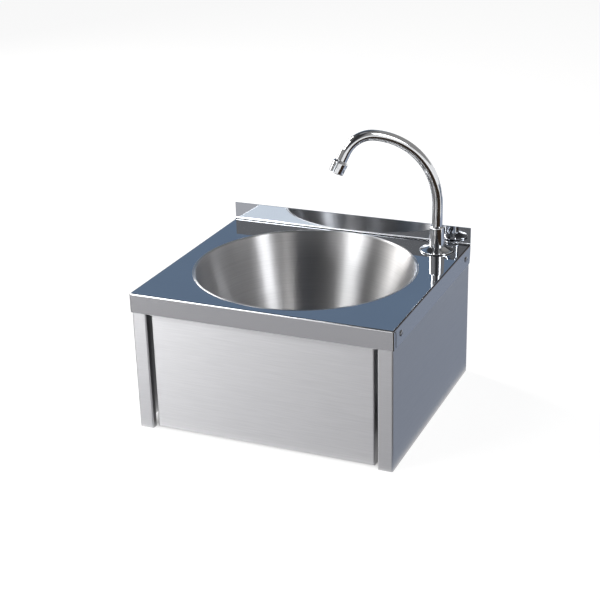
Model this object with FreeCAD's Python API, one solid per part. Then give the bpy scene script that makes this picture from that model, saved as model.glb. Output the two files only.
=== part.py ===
"""Knee-operated stainless steel hand wash basin, built as an assembly of separate pieces.

Millimetres.  The origin is at the middle of the deck's footprint, level with the lower
edge of the casing.  +X is to the user's right, +Y is towards the wall and +Z is up.
"""
import FreeCAD, Part
import math
import os

V = FreeCAD.Vector
X_AXIS = V(1, 0, 0)
Y_AXIS = V(0, 1, 0)
Z_AXIS = V(0, 0, 1)
TOOL_REACH = 600.0              # a cutting block or mask this long passes every wall
OVERRUN = 1.0                   # how far a cut starts or ends beyond the surface it leaves
NUT_CORNER_SHARE = 0.6          # part of a nut's corners that its end chamfers take off
HOLES_IN_FIRST_RING = 6         # each further ring of a grid has as many more

# ---------------------------------------------------------------- deck and casing
BASIN_WIDTH = 400.0
BASIN_DEPTH = 355.0
DECK_HEIGHT = 212.5             # casing's lower edge to the deck's top surface
DECK_SHEET = 1.5
DECK_FOLD = 2.2                 # outside radius of the deck's folds
APRON_DROP = 29.0
APRON_TAB = 10.7                # front apron's tab round each corner
APRON_SEAM = 0.6
SEAM_RELIEF = 3.6               # slanted relief at the top of each seam
TAB_CORNER = 2.4                # cut-off lower corner of each tab
APRON_REAR_CUT_Y = 5.5          # slanted rear end of each side apron
APRON_REAR_CUT_Z = 21.0
UPSTAND_HEIGHT = 27.5
UPSTAND_FOLD = 3.0              # inside radius where the upstand leaves the deck
UPSTAND_LEAD = 6.0              # flat sheet before that fold
CASING_SHEET = 1.2
CASING_FOLD = 2.2               # outside radius of the casing's folds
CASING_CLEARANCE = 0.3          # between the aprons and the casing inside them
FRONT_RETURN = 22.2             # width of each side panel's front return
RETURN_LIP = 9.4                # return's lip, folded back into the casing
REAR_FLANGE = 27.0
WALL_HOLE_RADIUS = 4.0
WALL_HOLE_SETBACK = 15.0        # hole centre from the casing's side face
WALL_HOLE_LOW = 55.0
WALL_HOLE_DROP = 67.5           # deck's top down to the upper pair
RAIL_HEIGHT = 46.0
RAIL_LEG = 11.0
RAIL_END_CLEARANCE = 2.0        # to the side panels, clear of the flange folds

# ---------------------------------------------------------------- bowl
BOWL_X = -3.0
BOWL_FRONT_MARGIN = 15.0        # flat deck between the bowl's opening and the front edge
BOWL_REAR_MARGIN = 7.0          # and between it and the wall
BOWL_LIP_FOLD = 3.0             # top-side radius of that turn
BOWL_LIP_RUN = 2.0
BOWL_SHEET = 1.2
BOWL_FLOOR_Z = 67.5             # floor at the recess, above the casing's lower edge
BOWL_WALL_SLOPE = 16.0          # degrees from the vertical
BOWL_FLOOR_FALL = 3.0           # degrees towards the waste
BOWL_FLOOR_FOLD = 20.0
WASTE_RECESS_RADIUS = 44.0
WASTE_RECESS_DEPTH = 4.0
WASTE_RECESS_SLOPE = 3.0        # how far the recess wall leans in
WASTE_RECESS_FOLD = 1.5
WASTE_HOLE_RADIUS = 24.0

# ---------------------------------------------------------------- waste
STRAINER_CLEARANCE = 1.6        # strainer to the recess wall
STRAINER_SHEET = 1.5
STRAINER_CROWN = 1.5
STRAINER_CROWN_RADIUS = 23.6    # flat top of the crown
STRAINER_RIM = 5.9              # flat rim round the crown
STRAINER_HOLE_RADIUS = 2.6
STRAINER_RING_START = 10.0      # innermost ring of holes
STRAINER_RING_PITCH = 7.5
STRAINER_RING_COUNT = 2
STRAINER_GASKET = 1.0
WASTE_GASKET = 3.0
WASTE_FLANGE_RADIUS = 36.0
WASTE_FLANGE = 4.0
WASTE_FUNNEL = 13.0
WASTE_TAIL_RADIUS = 20.95
WASTE_TAIL_BORE = 17.0
WASTE_TAIL_BOTTOM = 6.0
WASTE_BOSS_RADIUS = 6.0
WASTE_WEB = 3.0
WASTE_WEB_HEIGHT = 12.0
STRAINER_SCREW_RADIUS = 3.0
STRAINER_HEAD_RADIUS = 6.5
STRAINER_HEAD = 2.0
STRAINER_SLOT = 1.4

# ---------------------------------------------------------------- knee panel
PANEL_SLOT = 6.0                # open slot between the panel and each front return
PANEL_SHEET = 1.2
PANEL_FOLD = 2.4
PANEL_SETBACK = 4.5             # behind the faces of the front returns
PANEL_BOTTOM = 2.0
PANEL_TRAY = 14.0               # depth of the folded edges
EAR_SLOT = 2.4                  # the same slot beside the two ears
EAR_DROP = 32.7                 # deck's top down to the step where the panel widens
EAR_RADIUS = 11.5
EAR_FRONT_BAND = 6.0
PANEL_TOP_CLEARANCE = 0.3       # the top edge stops against the deck's underside
PIVOT_FROM_FRONT = 30.1
PIVOT_DROP = 14.5               # below the deck's top
PIVOT_SCREW_RADIUS = 2.5
PIVOT_RUNNING = 0.05            # radial play of each bush on its screw
SCREW_HOLE_PLAY = 0.1
SCREW_HEAD_RADIUS = 4.3
SCREW_HEAD = 2.0
SCREW_HEAD_ROUND = 0.9
BUSH_RADIUS = 4.5
BUSH_FLANGE_RADIUS = 7.0
BUSH_FLANGE = 1.2
SPACER_RADIUS = 6.0
MOVING_GAP = 0.3                # between pieces that move past each other
PIVOT_NUT_FLATS = 8.0
PIVOT_NUT = 4.5
SCREW_OVERRUN = 1.5             # thread beyond a nut
REAR_SCREW_FROM_WALL = 23.4
REAR_SCREW_DROP = 15.8          # below the deck's top

# ---------------------------------------------------------------- push gear
VALVE_FROM_SIDE = 70.0
VALVE_Z = 44.0
PUSH_BRACKET_REACH = 15.0
PUSH_BRACKET_SHEET = 1.5
PUSH_BRACKET_FOLD = 2.5
PUSH_BRACKET_WIDTH = 30.0
PUSH_BRACKET_CROWN = 30.0
PUSH_BRACKET_FOOT = 12.0
ADJUSTER_RADIUS = 4.0
ADJUSTER_TAIL = 8.0
ADJUSTER_HEAD = 6.0
ADJUSTER_DOME = 1.4
ADJUSTER_DOME_STEP = 0.6        # flat ring between the hexagon and the dome
ADJUSTER_CREST_RADIUS = 3.2
ADJUSTER_FLATS = 13.0
ADJUSTER_NUT = 4.0

# ---------------------------------------------------------------- valve
BUTTON_RADIUS = 10.0
BUTTON = 5.0
BUTTON_ROUND = 1.2
SPRING_LENGTH = 18.0
SPRING_RADIUS = 6.6
SPRING_WIRE = 0.6
SPRING_TURNS = 5
STEM_RADIUS = 4.0
STEM_RUNNING = 0.08
BONNET_FLATS = 24.0
BONNET_HEX = 6.0
BONNET_PLUG_RADIUS = 9.0
BONNET_PLUG = 10.0
STEM_SEAL_WIRE = 1.3
NECK_RADIUS = 13.0
NECK_LENGTH = 14.0
VALVE_BRACKET_SHEET = 2.0
VALVE_BRACKET_FOLD = 3.0
VALVE_BRACKET_HALF_HEIGHT = 27.0
VALVE_BRACKET_OVERHANG = 22.0
VALVE_BRACKET_FOOT = 30.0
LOCKNUT_FLATS = 34.0
LOCKNUT = 6.0
VALVE_BODY_RADIUS = 17.0
VALVE_BODY_LENGTH = 50.0
VALVE_BODY_ROUND = 2.0
VALVE_CHAMBER_RADIUS = 8.5
VALVE_CHAMBER_END = 14.0        # metal left behind the chamber
PORT_RADIUS = 10.0
PORT_BORE = 5.0
INLET_PORT_BACK = 30.0          # inlet's axis behind the body's shoulder
INLET_PORT_LENGTH = 17.0
OUTLET_PORT_LENGTH = 10.0
POPPET_RADIUS = 7.2
POPPET = 3.0
POPPET_WASHER = 2.0
POPPET_FROM_SHOULDER = 6.0      # poppet's front behind the body's shoulder

# ---------------------------------------------------------------- pre-mixer
MIXER_FROM_VALVE = 68.0
MIXER_RADIUS = 17.0
MIXER_HALF_LENGTH = 50.0
MIXER_END_ROUND = 3.0
MIXER_RIB = 1.2
MIXER_RIB_WIDTH = 4.0
UNION_WASHER = 1.0
UNION_BOSS_RADIUS = 8.0
UNION_NUT_FLATS = 27.0
UNION_NUT_GRIP = 8.0
INLET_PITCH = 76.0
INLET_BOSS_RADIUS = 14.0
INLET_BOSS = 3.0
CHECK_HEX_FLATS = 24.0
CHECK_HEX = 7.0
INLET_THREAD_RADIUS = 10.48
INLET_THREAD = 13.0
INLET_BORE = 7.0
INLET_SPIGOT_RADIUS = 9.0
INLET_SPIGOT = 8.0
SPINDLE_RADIUS = 4.0
SPINDLE_RUNNING = 0.08
SPINDLE_DEPTH = 12.0
SPINDLE_DROP = 8.0
KNOB_RADIUS = 12.0
KNOB_HEIGHT = 14.0
KNOB_GRIPS = 12
KNOB_GRIP_RADIUS = 1.5
POINTER_LENGTH = 3.0
POINTER_WIDTH = 2.4
MIXER_COLLAR_RADIUS = 9.0
MIXER_COLLAR = 2.0

# ---------------------------------------------------------------- spout
SPOUT_FROM_SIDE = 42.0
SPOUT_FROM_WALL = 38.7
SPOUT_BEARING = 217.0           # degrees from +X towards +Y: over the bowl
TUBE_RADIUS = 8.0
TUBE_WALL = 1.5
SPOUT_STRAIGHT = 72.8           # deck to the start of the arch
ARCH_RISE_RADIUS = 118.0
ARCH_RISE_TURN = 81.0
ARCH_FALL_RADIUS = 41.6
ARCH_FALL_TURN = 72.0
SPOUT_END_RUN = 33.0            # last bend to the aerator's mouth
BASE_SEAL = 0.6
BASE_SEAL_RADIUS = 24.4
BASE_RADIUS = 25.8
BASE_RIM = 1.6
BASE_RIM_ROUND = 0.7
BASE_CONE_RADIUS = 12.2         # top of the cone, just outside the collar
BASE_HEIGHT = 7.0               # deck to the collar
BASE_DISH = 0.5                 # hollow of the cone below a straight line
BASE_NECK_RADIUS = 9.6
BASE_NECK_TOP = 25.0            # above the deck
SHANK_RADIUS = 10.4
SHANK_HOLE_PLAY = 0.6
SHANK_BORE = 5.0
SHANK_LENGTH = 45.0             # below the deck's top surface
SWIVEL_PLAY = 0.1               # radial, tube in base and collar
SPIGOT_BOTTOM = 7.0             # above the deck
TUBE_BOTTOM = 17.0              # above the deck
SPIGOT_OVERLAP = 10.0
SPIGOT_BORE = 4.5
SEAL_GROOVE = 1.8
SEAL_GROOVE_WIDTH = 2.2
SEAL_GROOVE_PITCH = 4.6
SEAL_GROOVE_START = 1.6
SEAL_PLAY = 0.05
COLLAR_BOTTOM_RADIUS = 11.8
COLLAR_TOP_RADIUS = 11.1
COLLAR_TOP = 39.0               # above the deck
COLLAR_CHAMFER = 1.8
RETAINER_RADIUS = 9.8
RETAINER = 2.0
RETAINER_GROOVE = 0.8
RETAINER_SLIT = 3.0
DECK_WASHER_RADIUS = 19.0
DECK_WASHER = 2.0
BACKING_WASHER_RADIUS = 20.0
BACKING_WASHER = 1.5
SHANK_NUT_FLATS = 30.0
SHANK_NUT = 7.0
AERATOR_RADIUS = 11.5
AERATOR_MOUTH_RADIUS = 11.0
AERATOR_LENGTH = 20.0
AERATOR_SHOULDER = 3.6
AERATOR_NECK_RADIUS = 8.8
AERATOR_CHAMFER = 0.8
AERATOR_BORE = 9.4
AERATOR_TUBE_GRIP = 8.0
AERATOR_RECESS = 1.0
AERATOR_WASHER = 1.2
AERATOR_HOLE_RADIUS = 0.9
AERATOR_RING_PITCH = 3.3        # between the centre hole and each ring of holes
AERATOR_RING_COUNT = 2

# ---------------------------------------------------------------- hose
HOSE_RADIUS = 6.0
HOSE_BORE = 4.0
FERRULE_RADIUS = 7.0
FERRULE_LENGTH = 16.0
HOSE_NUT_FLATS = 24.0
HOSE_NUT_GRIP = 9.0
HOSE_NUT_SKIRT = 5.0
HOSE_LEAD = 18.0                # straight run out of each ferrule
HOSE_SWEEP_BACK = 95.0          # where the hose has crossed under the tap
HOSE_BEND_SHARE = 0.45          # part of the shorter run that each bend takes up

# ---------------------------------------------------------------- worked-out places
FRONT_Y = -BASIN_DEPTH / 2
WALL_Y = BASIN_DEPTH / 2
SIDE_X = BASIN_WIDTH / 2
DECK_UNDERSIDE = DECK_HEIGHT - DECK_SHEET
APRON_BOTTOM = DECK_HEIGHT - APRON_DROP
CASING_INSET = DECK_SHEET + CASING_CLEARANCE
CASING_TOP = DECK_UNDERSIDE - CASING_CLEARANCE
CASING_X = SIDE_X - CASING_INSET
CASING_INNER_X = CASING_X - CASING_SHEET
CASING_FRONT = FRONT_Y + CASING_INSET
CASING_REAR = WALL_Y
RETURN_EDGE_X = CASING_X - FRONT_RETURN
PANEL_HALF_WIDTH = RETURN_EDGE_X - PANEL_SLOT
EAR_HALF_WIDTH = RETURN_EDGE_X - EAR_SLOT
PANEL_STEP_Z = DECK_HEIGHT - EAR_DROP
PANEL_FACE = CASING_FRONT + PANEL_SETBACK
PANEL_INNER = PANEL_FACE + PANEL_SHEET
PANEL_TOP = DECK_UNDERSIDE - PANEL_TOP_CLEARANCE
PIVOT_Y = FRONT_Y + PIVOT_FROM_FRONT
PIVOT_Z = DECK_HEIGHT - PIVOT_DROP
REAR_SCREW_Y = WALL_Y - REAR_SCREW_FROM_WALL
REAR_SCREW_Z = DECK_HEIGHT - REAR_SCREW_DROP

BOWL_FLAT_RADIUS = (BASIN_DEPTH - BOWL_FRONT_MARGIN - BOWL_REAR_MARGIN) / 2
BOWL_Y = FRONT_Y + BOWL_FRONT_MARGIN + BOWL_FLAT_RADIUS
BOWL_SLOPE = math.radians(BOWL_WALL_SLOPE)
BOWL_TURN = math.radians(90.0 - BOWL_WALL_SLOPE)
LIP_ARC_RADIUS = BOWL_FLAT_RADIUS - BOWL_LIP_FOLD * math.sin(BOWL_TURN)
LIP_ARC_Z = DECK_HEIGHT - BOWL_LIP_FOLD * (1 - math.cos(BOWL_TURN))
LIP_END_RADIUS = LIP_ARC_RADIUS - BOWL_LIP_RUN * math.sin(BOWL_SLOPE)
LIP_END_Z = LIP_ARC_Z - BOWL_LIP_RUN * math.cos(BOWL_SLOPE)
RECESS_FLOOR_Z = BOWL_FLOOR_Z - WASTE_RECESS_DEPTH
RECESS_UNDERSIDE = RECESS_FLOOR_Z - BOWL_SHEET
STRAINER_RADIUS = WASTE_RECESS_RADIUS - WASTE_RECESS_SLOPE - STRAINER_CLEARANCE
STRAINER_UNDERSIDE = RECESS_FLOOR_Z + STRAINER_GASKET
WASTE_BODY_TOP = RECESS_UNDERSIDE - WASTE_GASKET

VALVE_X = SIDE_X - VALVE_FROM_SIDE
MIXER_X = VALVE_X - MIXER_FROM_VALVE
ADJUSTER_TIP = PANEL_INNER + PUSH_BRACKET_REACH + ADJUSTER_NUT + ADJUSTER_HEAD
BUTTON_FRONT = ADJUSTER_TIP + MOVING_GAP
BUTTON_BACK = BUTTON_FRONT + BUTTON
BONNET_FRONT = BUTTON_BACK + SPRING_LENGTH
NECK_FRONT = BONNET_FRONT + BONNET_HEX
VALVE_SHOULDER = NECK_FRONT + NECK_LENGTH
VALVE_REAR = VALVE_SHOULDER + VALVE_BODY_LENGTH
OUTLET_FACE = VALVE_REAR + OUTLET_PORT_LENGTH
INLET_Y = VALVE_SHOULDER + INLET_PORT_BACK
INLET_FACE = VALVE_X - VALVE_BODY_RADIUS - INLET_PORT_LENGTH
MIXER_BOSS_FACE = INLET_FACE - UNION_WASHER
MIXER_BOSS_BOTTOM = VALVE_Z - MIXER_RADIUS - INLET_BOSS

SPOUT_X = SIDE_X - SPOUT_FROM_SIDE
SPOUT_Y = WALL_Y - SPOUT_FROM_WALL
TAP = V(SPOUT_X, SPOUT_Y, DECK_HEIGHT)
SHANK_END = V(SPOUT_X, SPOUT_Y, DECK_HEIGHT - SHANK_LENGTH)
VALVE_OUTLET = V(VALVE_X, OUTLET_FACE, VALVE_Z)
FLANGE_BOTTOM = BASE_SEAL       # heights above the deck from here down to the hose
NECK_TOP = BASE_NECK_TOP
RETAINER_BOTTOM = NECK_TOP + MOVING_GAP
RETAINER_TOP = RETAINER_BOTTOM + RETAINER
SWIVEL_BORE = TUBE_RADIUS + SWIVEL_PLAY
TUBE_BORE = TUBE_RADIUS - TUBE_WALL


# ================================================================ shape helpers
def block(low, high):
    """Rectangular block between two opposite corners."""
    size = V(*high) - V(*low)
    return Part.makeBox(size.x, size.y, size.z, V(*low))


def rod(radius, start, axis, length):
    return Part.makeCylinder(radius, length, start, axis)


def ring(outer, inner, start, axis, length):
    """Plain washer or sleeve."""
    return rod(outer, start, axis, length).cut(rod(inner, start, axis, length))


def hexagon(flats, start, axis, length):
    """Hexagonal prism, with its flats' distance given and its ends chamfered like a nut's."""
    corner = flats / math.sqrt(3)
    across = X_AXIS if abs(axis.x) < 0.5 else Y_AXIS
    across = (across - axis * across.dot(axis)).normalize()
    beside = axis.cross(across)
    points = []
    for index in range(7):
        angle = math.radians(60 * index)
        points.append(start + across * (corner * math.cos(angle)) + beside * (corner * math.sin(angle)))
    prism = Part.Face(Part.makePolygon(points)).extrude(axis * length)
    chamfer = (corner - flats / 2) * NUT_CORNER_SHARE
    barrel = turned([(0, 0), (corner - chamfer, 0), (corner, chamfer), (corner, length - chamfer),
                     (corner - chamfer, length), (0, length)], start, axis)
    return prism.common(barrel)


def turned(outline, start, axis):
    """Solid of revolution: outline holds (radius, distance along the axis) corners."""
    across = X_AXIS if abs(axis.x) < 0.5 else Y_AXIS
    across = (across - axis * across.dot(axis)).normalize()
    points = [start + across * radius + axis * along for radius, along in outline]
    face = Part.Face(Part.makePolygon(points + points[:1]))
    return face.revolve(start, axis, 360)


def rounded_run(corners, radii):
    """Edges of straight runs joined by tangent arcs, one radius for each inner corner."""
    edges = []
    start = corners[0]
    for before, corner, after, radius in zip(corners, corners[1:], corners[2:], radii):
        inward = (corner - before).normalize()
        outward = (after - corner).normalize()
        half_turn = inward.getAngle(outward) / 2
        setback = radius * math.tan(half_turn)
        arc_start = corner - inward * setback
        arc_end = corner + outward * setback
        to_centre = (outward - inward).normalize()
        middle = corner + to_centre * (radius / math.cos(half_turn) - radius)
        edges.append(Part.LineSegment(start, arc_start).toShape())
        edges.append(Part.Arc(arc_start, middle, arc_end).toShape())
        start = arc_end
    edges.append(Part.LineSegment(start, corners[-1]).toShape())
    return edges


def sheet_face(corners, sheet, fold, place):
    """Cross-section of a folded sheet.

    corners run along one face of the sheet, which lies to their left.  fold is the inside
    radius of every bend, or a list with one for each.  place turns (a, b) into a 3-D point.
    """
    flat = [V(a, b, 0) for a, b in corners]
    folds = fold if isinstance(fold, list) else [fold] * (len(flat) - 2)
    runs = [(b - a).normalize() for a, b in zip(flat, flat[1:])]
    lefts = [V(-run.y, run.x, 0) for run in runs]
    far = [flat[0] + lefts[0] * sheet]
    near_radii = []
    far_radii = []
    for index, inside in enumerate(folds):
        first = lefts[index]
        second = lefts[index + 1]
        far.append(flat[index + 1] + (first + second) * (sheet / (1 + first.dot(second))))
        turns_left = runs[index].cross(runs[index + 1]).z > 0
        near_radii.append(inside + sheet if turns_left else inside)
        far_radii.append(inside if turns_left else inside + sheet)
    far.append(flat[-1] + lefts[-1] * sheet)
    near = [place(point.x, point.y) for point in flat]
    back = [place(point.x, point.y) for point in reversed(far)]
    edges = rounded_run(near, near_radii)
    edges.append(Part.LineSegment(near[-1], back[0]).toShape())
    edges.extend(rounded_run(back, list(reversed(far_radii))))
    edges.append(Part.LineSegment(back[-1], near[0]).toShape())
    return Part.Face(Part.Wire(edges))


def edges_at(shape, **place):
    """Straight edges whose middles lie at all the given coordinates (x=, y= or z=)."""
    chosen = []
    for edge in shape.Edges:
        middle = edge.CenterOfMass
        if all(abs(getattr(middle, name) - value) < 1e-6 for name, value in place.items()):
            chosen.append(edge)
    return chosen


def round_edges(shape, radius, places):
    """Round the edges found at each of the given places with one radius."""
    edges = []
    for place in places:
        edges.extend(edges_at(shape, **place))
    return shape.makeFillet(radius, edges)


def polar(centre, radius, count, offset=0.0):
    """Points evenly spaced round a horizontal circle."""
    points = []
    for index in range(count):
        angle = math.radians(offset + 360.0 * index / count)
        points.append(centre + V(radius * math.cos(angle), radius * math.sin(angle), 0))
    return points


def both_sides(make):
    """The same piece on the left and on the right, as one group."""
    right = make()
    return Part.makeCompound([right, right.mirror(V(0, 0, 0), X_AXIS)])


def export(name, shape):
    solids = shape.Solids
    group = solids[0] if len(solids) == 1 else Part.makeCompound(solids)
    group.exportStep(os.path.join("parts", name + ".step"))


# ================================================================ deck and casing
def deck_cap(inset):
    """Block that fills the deck's cap, with rounded folds; inset by one sheet it is the hollow."""
    right = SIDE_X - inset
    front = FRONT_Y + inset
    top = DECK_HEIGHT - inset
    rear = WALL_Y + inset
    cap = block((-right, front, APRON_BOTTOM - inset), (right, rear, top))
    folds = [{"y": front, "z": top}, {"x": right, "z": top}, {"x": -right, "z": top},
             {"x": right, "y": front}, {"x": -right, "y": front}]
    return round_edges(cap, DECK_FOLD - inset, folds)


def deck_upstand():
    """Sheet that runs along the back of the deck and turns up the wall."""
    run = UPSTAND_FOLD + DECK_SHEET + UPSTAND_LEAD
    top = DECK_HEIGHT + UPSTAND_HEIGHT
    corners = [(WALL_Y - run, DECK_UNDERSIDE), (WALL_Y, DECK_UNDERSIDE), (WALL_Y, top)]
    face = sheet_face(corners, DECK_SHEET, UPSTAND_FOLD, lambda y, z: V(-SIDE_X, y, z))
    return face.extrude(X_AXIS * BASIN_WIDTH), run


def bowl_lip():
    """Rolled edge of the deck's bowl opening."""
    wall = V(-math.sin(BOWL_SLOPE), 0, -math.cos(BOWL_SLOPE))
    outward = V(math.cos(BOWL_SLOPE), 0, -math.sin(BOWL_SLOPE))
    half = BOWL_TURN / 2
    centre = V(BOWL_FLAT_RADIUS, 0, DECK_HEIGHT - BOWL_LIP_FOLD)
    towards_middle = V(-math.sin(half), 0, math.cos(half))
    under_fold = BOWL_LIP_FOLD - DECK_SHEET
    top_start = V(BOWL_FLAT_RADIUS, 0, DECK_HEIGHT)
    top_end = V(LIP_ARC_RADIUS, 0, LIP_ARC_Z)
    lip_end = top_end + wall * BOWL_LIP_RUN
    under_end = lip_end + outward * DECK_SHEET
    under_arc_end = top_end + outward * DECK_SHEET
    under_start = V(BOWL_FLAT_RADIUS, 0, DECK_UNDERSIDE)
    edges = [
        Part.Arc(top_start, centre + towards_middle * BOWL_LIP_FOLD, top_end).toShape(),
        Part.LineSegment(top_end, lip_end).toShape(),
        Part.LineSegment(lip_end, under_end).toShape(),
        Part.LineSegment(under_end, under_arc_end).toShape(),
        Part.Arc(under_arc_end, centre + towards_middle * under_fold, under_start).toShape(),
        Part.LineSegment(under_start, top_start).toShape(),
    ]
    face = Part.Face(Part.Wire(edges))
    lip = face.revolve(V(0, 0, 0), Z_AXIS, 360)
    lip.translate(V(BOWL_X, BOWL_Y, 0))
    return lip


def apron_seams():
    """Right-hand seam between the front apron's tab and the side apron, and the cut corners."""
    seam_y = FRONT_Y + APRON_TAB
    inner = SIDE_X - DECK_SHEET - CASING_CLEARANCE
    outer = SIDE_X + DECK_SHEET
    seam_top = DECK_HEIGHT - DECK_FOLD - SEAM_RELIEF / 2
    below = APRON_BOTTOM - OVERRUN
    behind = WALL_Y + OVERRUN
    seam = block((inner, seam_y, below), (outer, seam_y + APRON_SEAM, seam_top))
    relief = [(seam_y, seam_top), (seam_y + APRON_SEAM, seam_top),
              (seam_y - SEAM_RELIEF + APRON_SEAM, seam_top + SEAM_RELIEF / 2),
              (seam_y - SEAM_RELIEF, seam_top + SEAM_RELIEF / 2)]
    corner = [(FRONT_Y + DECK_FOLD, below), (seam_y, below), (seam_y, APRON_BOTTOM),
              (seam_y - TAB_CORNER / 2, APRON_BOTTOM + TAB_CORNER / 4),
              (FRONT_Y + DECK_FOLD, APRON_BOTTOM + TAB_CORNER / 4)]
    rear = [(behind, below), (behind, APRON_BOTTOM + APRON_REAR_CUT_Z),
            (WALL_Y, APRON_BOTTOM + APRON_REAR_CUT_Z),
            (WALL_Y - APRON_REAR_CUT_Y / 2, APRON_BOTTOM + TAB_CORNER),
            (WALL_Y - APRON_REAR_CUT_Y, below)]
    cuts = [seam]
    for outline in (relief, corner, rear):
        points = [V(inner, y, z) for y, z in outline]
        face = Part.Face(Part.makePolygon(points + points[:1]))
        cuts.append(face.extrude(X_AXIS * (outer - inner)))
    return Part.makeCompound(cuts)


def make_deck():
    """One folded sheet: deck, front and side aprons, wall upstand and the rolled bowl opening."""
    deck = deck_cap(0.0).cut(deck_cap(DECK_SHEET))
    upstand, run = deck_upstand()
    inner = SIDE_X - DECK_SHEET
    behind = WALL_Y + OVERRUN
    slot = block((-inner, WALL_Y - run, DECK_UNDERSIDE - OVERRUN), (inner, behind, DECK_HEIGHT + OVERRUN))
    low_part = upstand.common(deck_cap(0.0))
    high_part = upstand.common(block((-SIDE_X, FRONT_Y, DECK_HEIGHT), (SIDE_X, behind, TOOL_REACH)))
    deck = deck.cut(slot).fuse([low_part, high_part])
    bowl_axis = V(BOWL_X, BOWL_Y, 0)
    deck = deck.cut(rod(BOWL_FLAT_RADIUS, bowl_axis, Z_AXIS, TOOL_REACH)).fuse(bowl_lip())
    tap_hole = rod(SHANK_RADIUS + SHANK_HOLE_PLAY, V(SPOUT_X, SPOUT_Y, 0), Z_AXIS, TOOL_REACH)
    deck = deck.cut(tap_hole)
    seams = apron_seams()
    deck = deck.cut(seams).cut(seams.mirror(V(0, 0, 0), X_AXIS))
    for y, z in ((PIVOT_Y, PIVOT_Z), (REAR_SCREW_Y, REAR_SCREW_Z)):
        start = V(-SIDE_X - OVERRUN, y, z)
        deck = deck.cut(rod(PIVOT_SCREW_RADIUS + SCREW_HOLE_PLAY, start, X_AXIS, BASIN_WIDTH + 2 * OVERRUN))
    return deck.removeSplitter()


def make_bowl():
    """Spun bowl: brushed cone, rounded into a floor that falls to the recess for the waste."""
    floor_corner = LIP_END_RADIUS - (LIP_END_Z - BOWL_FLOOR_Z) * math.tan(BOWL_SLOPE)
    fall = (floor_corner - WASTE_RECESS_RADIUS) * math.tan(math.radians(BOWL_FLOOR_FALL))
    corner_z = BOWL_FLOOR_Z + fall
    corner_radius = LIP_END_RADIUS - (LIP_END_Z - corner_z) * math.tan(BOWL_SLOPE)
    corners = [
        (LIP_END_RADIUS, LIP_END_Z),
        (corner_radius, corner_z),
        (WASTE_RECESS_RADIUS, BOWL_FLOOR_Z),
        (WASTE_RECESS_RADIUS - WASTE_RECESS_SLOPE, RECESS_FLOOR_Z),
        (WASTE_HOLE_RADIUS, RECESS_FLOOR_Z),
    ]
    folds = [BOWL_FLOOR_FOLD, WASTE_RECESS_FOLD, WASTE_RECESS_FOLD]
    face = sheet_face(corners, BOWL_SHEET, folds, lambda r, z: V(BOWL_X + r, BOWL_Y, z))
    return face.revolve(V(BOWL_X, BOWL_Y, 0), Z_AXIS, 360)


def make_right_side_panel():
    """Folded side: wall flange with its fixing holes, side, front return and the return's lip."""
    corners = [
        (RETURN_EDGE_X, CASING_FRONT + RETURN_LIP),
        (RETURN_EDGE_X, CASING_FRONT),
        (CASING_X, CASING_FRONT),
        (CASING_X, CASING_REAR),
        (CASING_X - REAR_FLANGE, CASING_REAR),
    ]
    face = sheet_face(corners, CASING_SHEET, CASING_FOLD - CASING_SHEET, lambda x, y: V(x, y, 0))
    panel = face.extrude(Z_AXIS * CASING_TOP)
    for z in (WALL_HOLE_LOW, DECK_HEIGHT - WALL_HOLE_DROP):
        start = V(CASING_X - WALL_HOLE_SETBACK, CASING_REAR - REAR_FLANGE / 2, z)
        panel = panel.cut(rod(WALL_HOLE_RADIUS, start, Y_AXIS, REAR_FLANGE))
    through = CASING_SHEET + 2 * OVERRUN
    for y, z in ((PIVOT_Y, PIVOT_Z), (REAR_SCREW_Y, REAR_SCREW_Z)):
        start = V(CASING_INNER_X - OVERRUN, y, z)
        panel = panel.cut(rod(PIVOT_SCREW_RADIUS + SCREW_HOLE_PLAY, start, X_AXIS, through))
    return panel


def make_rear_rail():
    """Angle welded across the fronts of the two wall flanges, which stiffens the back under the deck."""
    half = CASING_INNER_X - RAIL_END_CLEARANCE
    rear = CASING_REAR - CASING_SHEET
    low = DECK_UNDERSIDE - RAIL_HEIGHT
    corners = [(rear - RAIL_LEG, low), (rear, low), (rear, DECK_UNDERSIDE)]
    face = sheet_face(corners, CASING_SHEET, CASING_FOLD - CASING_SHEET, lambda y, z: V(-half, y, z))
    return face.extrude(X_AXIS * (2 * half))


def headed_screw(start, direction, length):
    """Pan-head screw: start is under the head, and the head stands against the direction."""
    back = direction * -1
    head = rod(SCREW_HEAD_RADIUS, start, back, SCREW_HEAD)
    rim = [edge for edge in head.Edges
           if abs((edge.CenterOfMass - start).dot(back) - SCREW_HEAD) < 1e-6]
    shank = rod(PIVOT_SCREW_RADIUS, start, direction, length)
    return head.makeFillet(SCREW_HEAD_ROUND, rim).fuse(shank).removeSplitter()


def nut(flats, bore, start, axis, length):
    hole = rod(bore, start - axis * OVERRUN, axis, length + 2 * OVERRUN)
    return hexagon(flats, start, axis, length).cut(hole)


def rear_screw():
    length = SIDE_X - CASING_INNER_X + PIVOT_NUT + SCREW_OVERRUN
    return headed_screw(V(SIDE_X, REAR_SCREW_Y, REAR_SCREW_Z), X_AXIS * -1, length)


def rear_nut():
    start = V(CASING_INNER_X - PIVOT_NUT, REAR_SCREW_Y, REAR_SCREW_Z)
    return nut(PIVOT_NUT_FLATS, PIVOT_SCREW_RADIUS, start, X_AXIS, PIVOT_NUT)


# ================================================================ knee panel and its pivots
PIVOT_NUT_X = EAR_HALF_WIDTH - PANEL_SHEET - BUSH_FLANGE - MOVING_GAP


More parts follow.
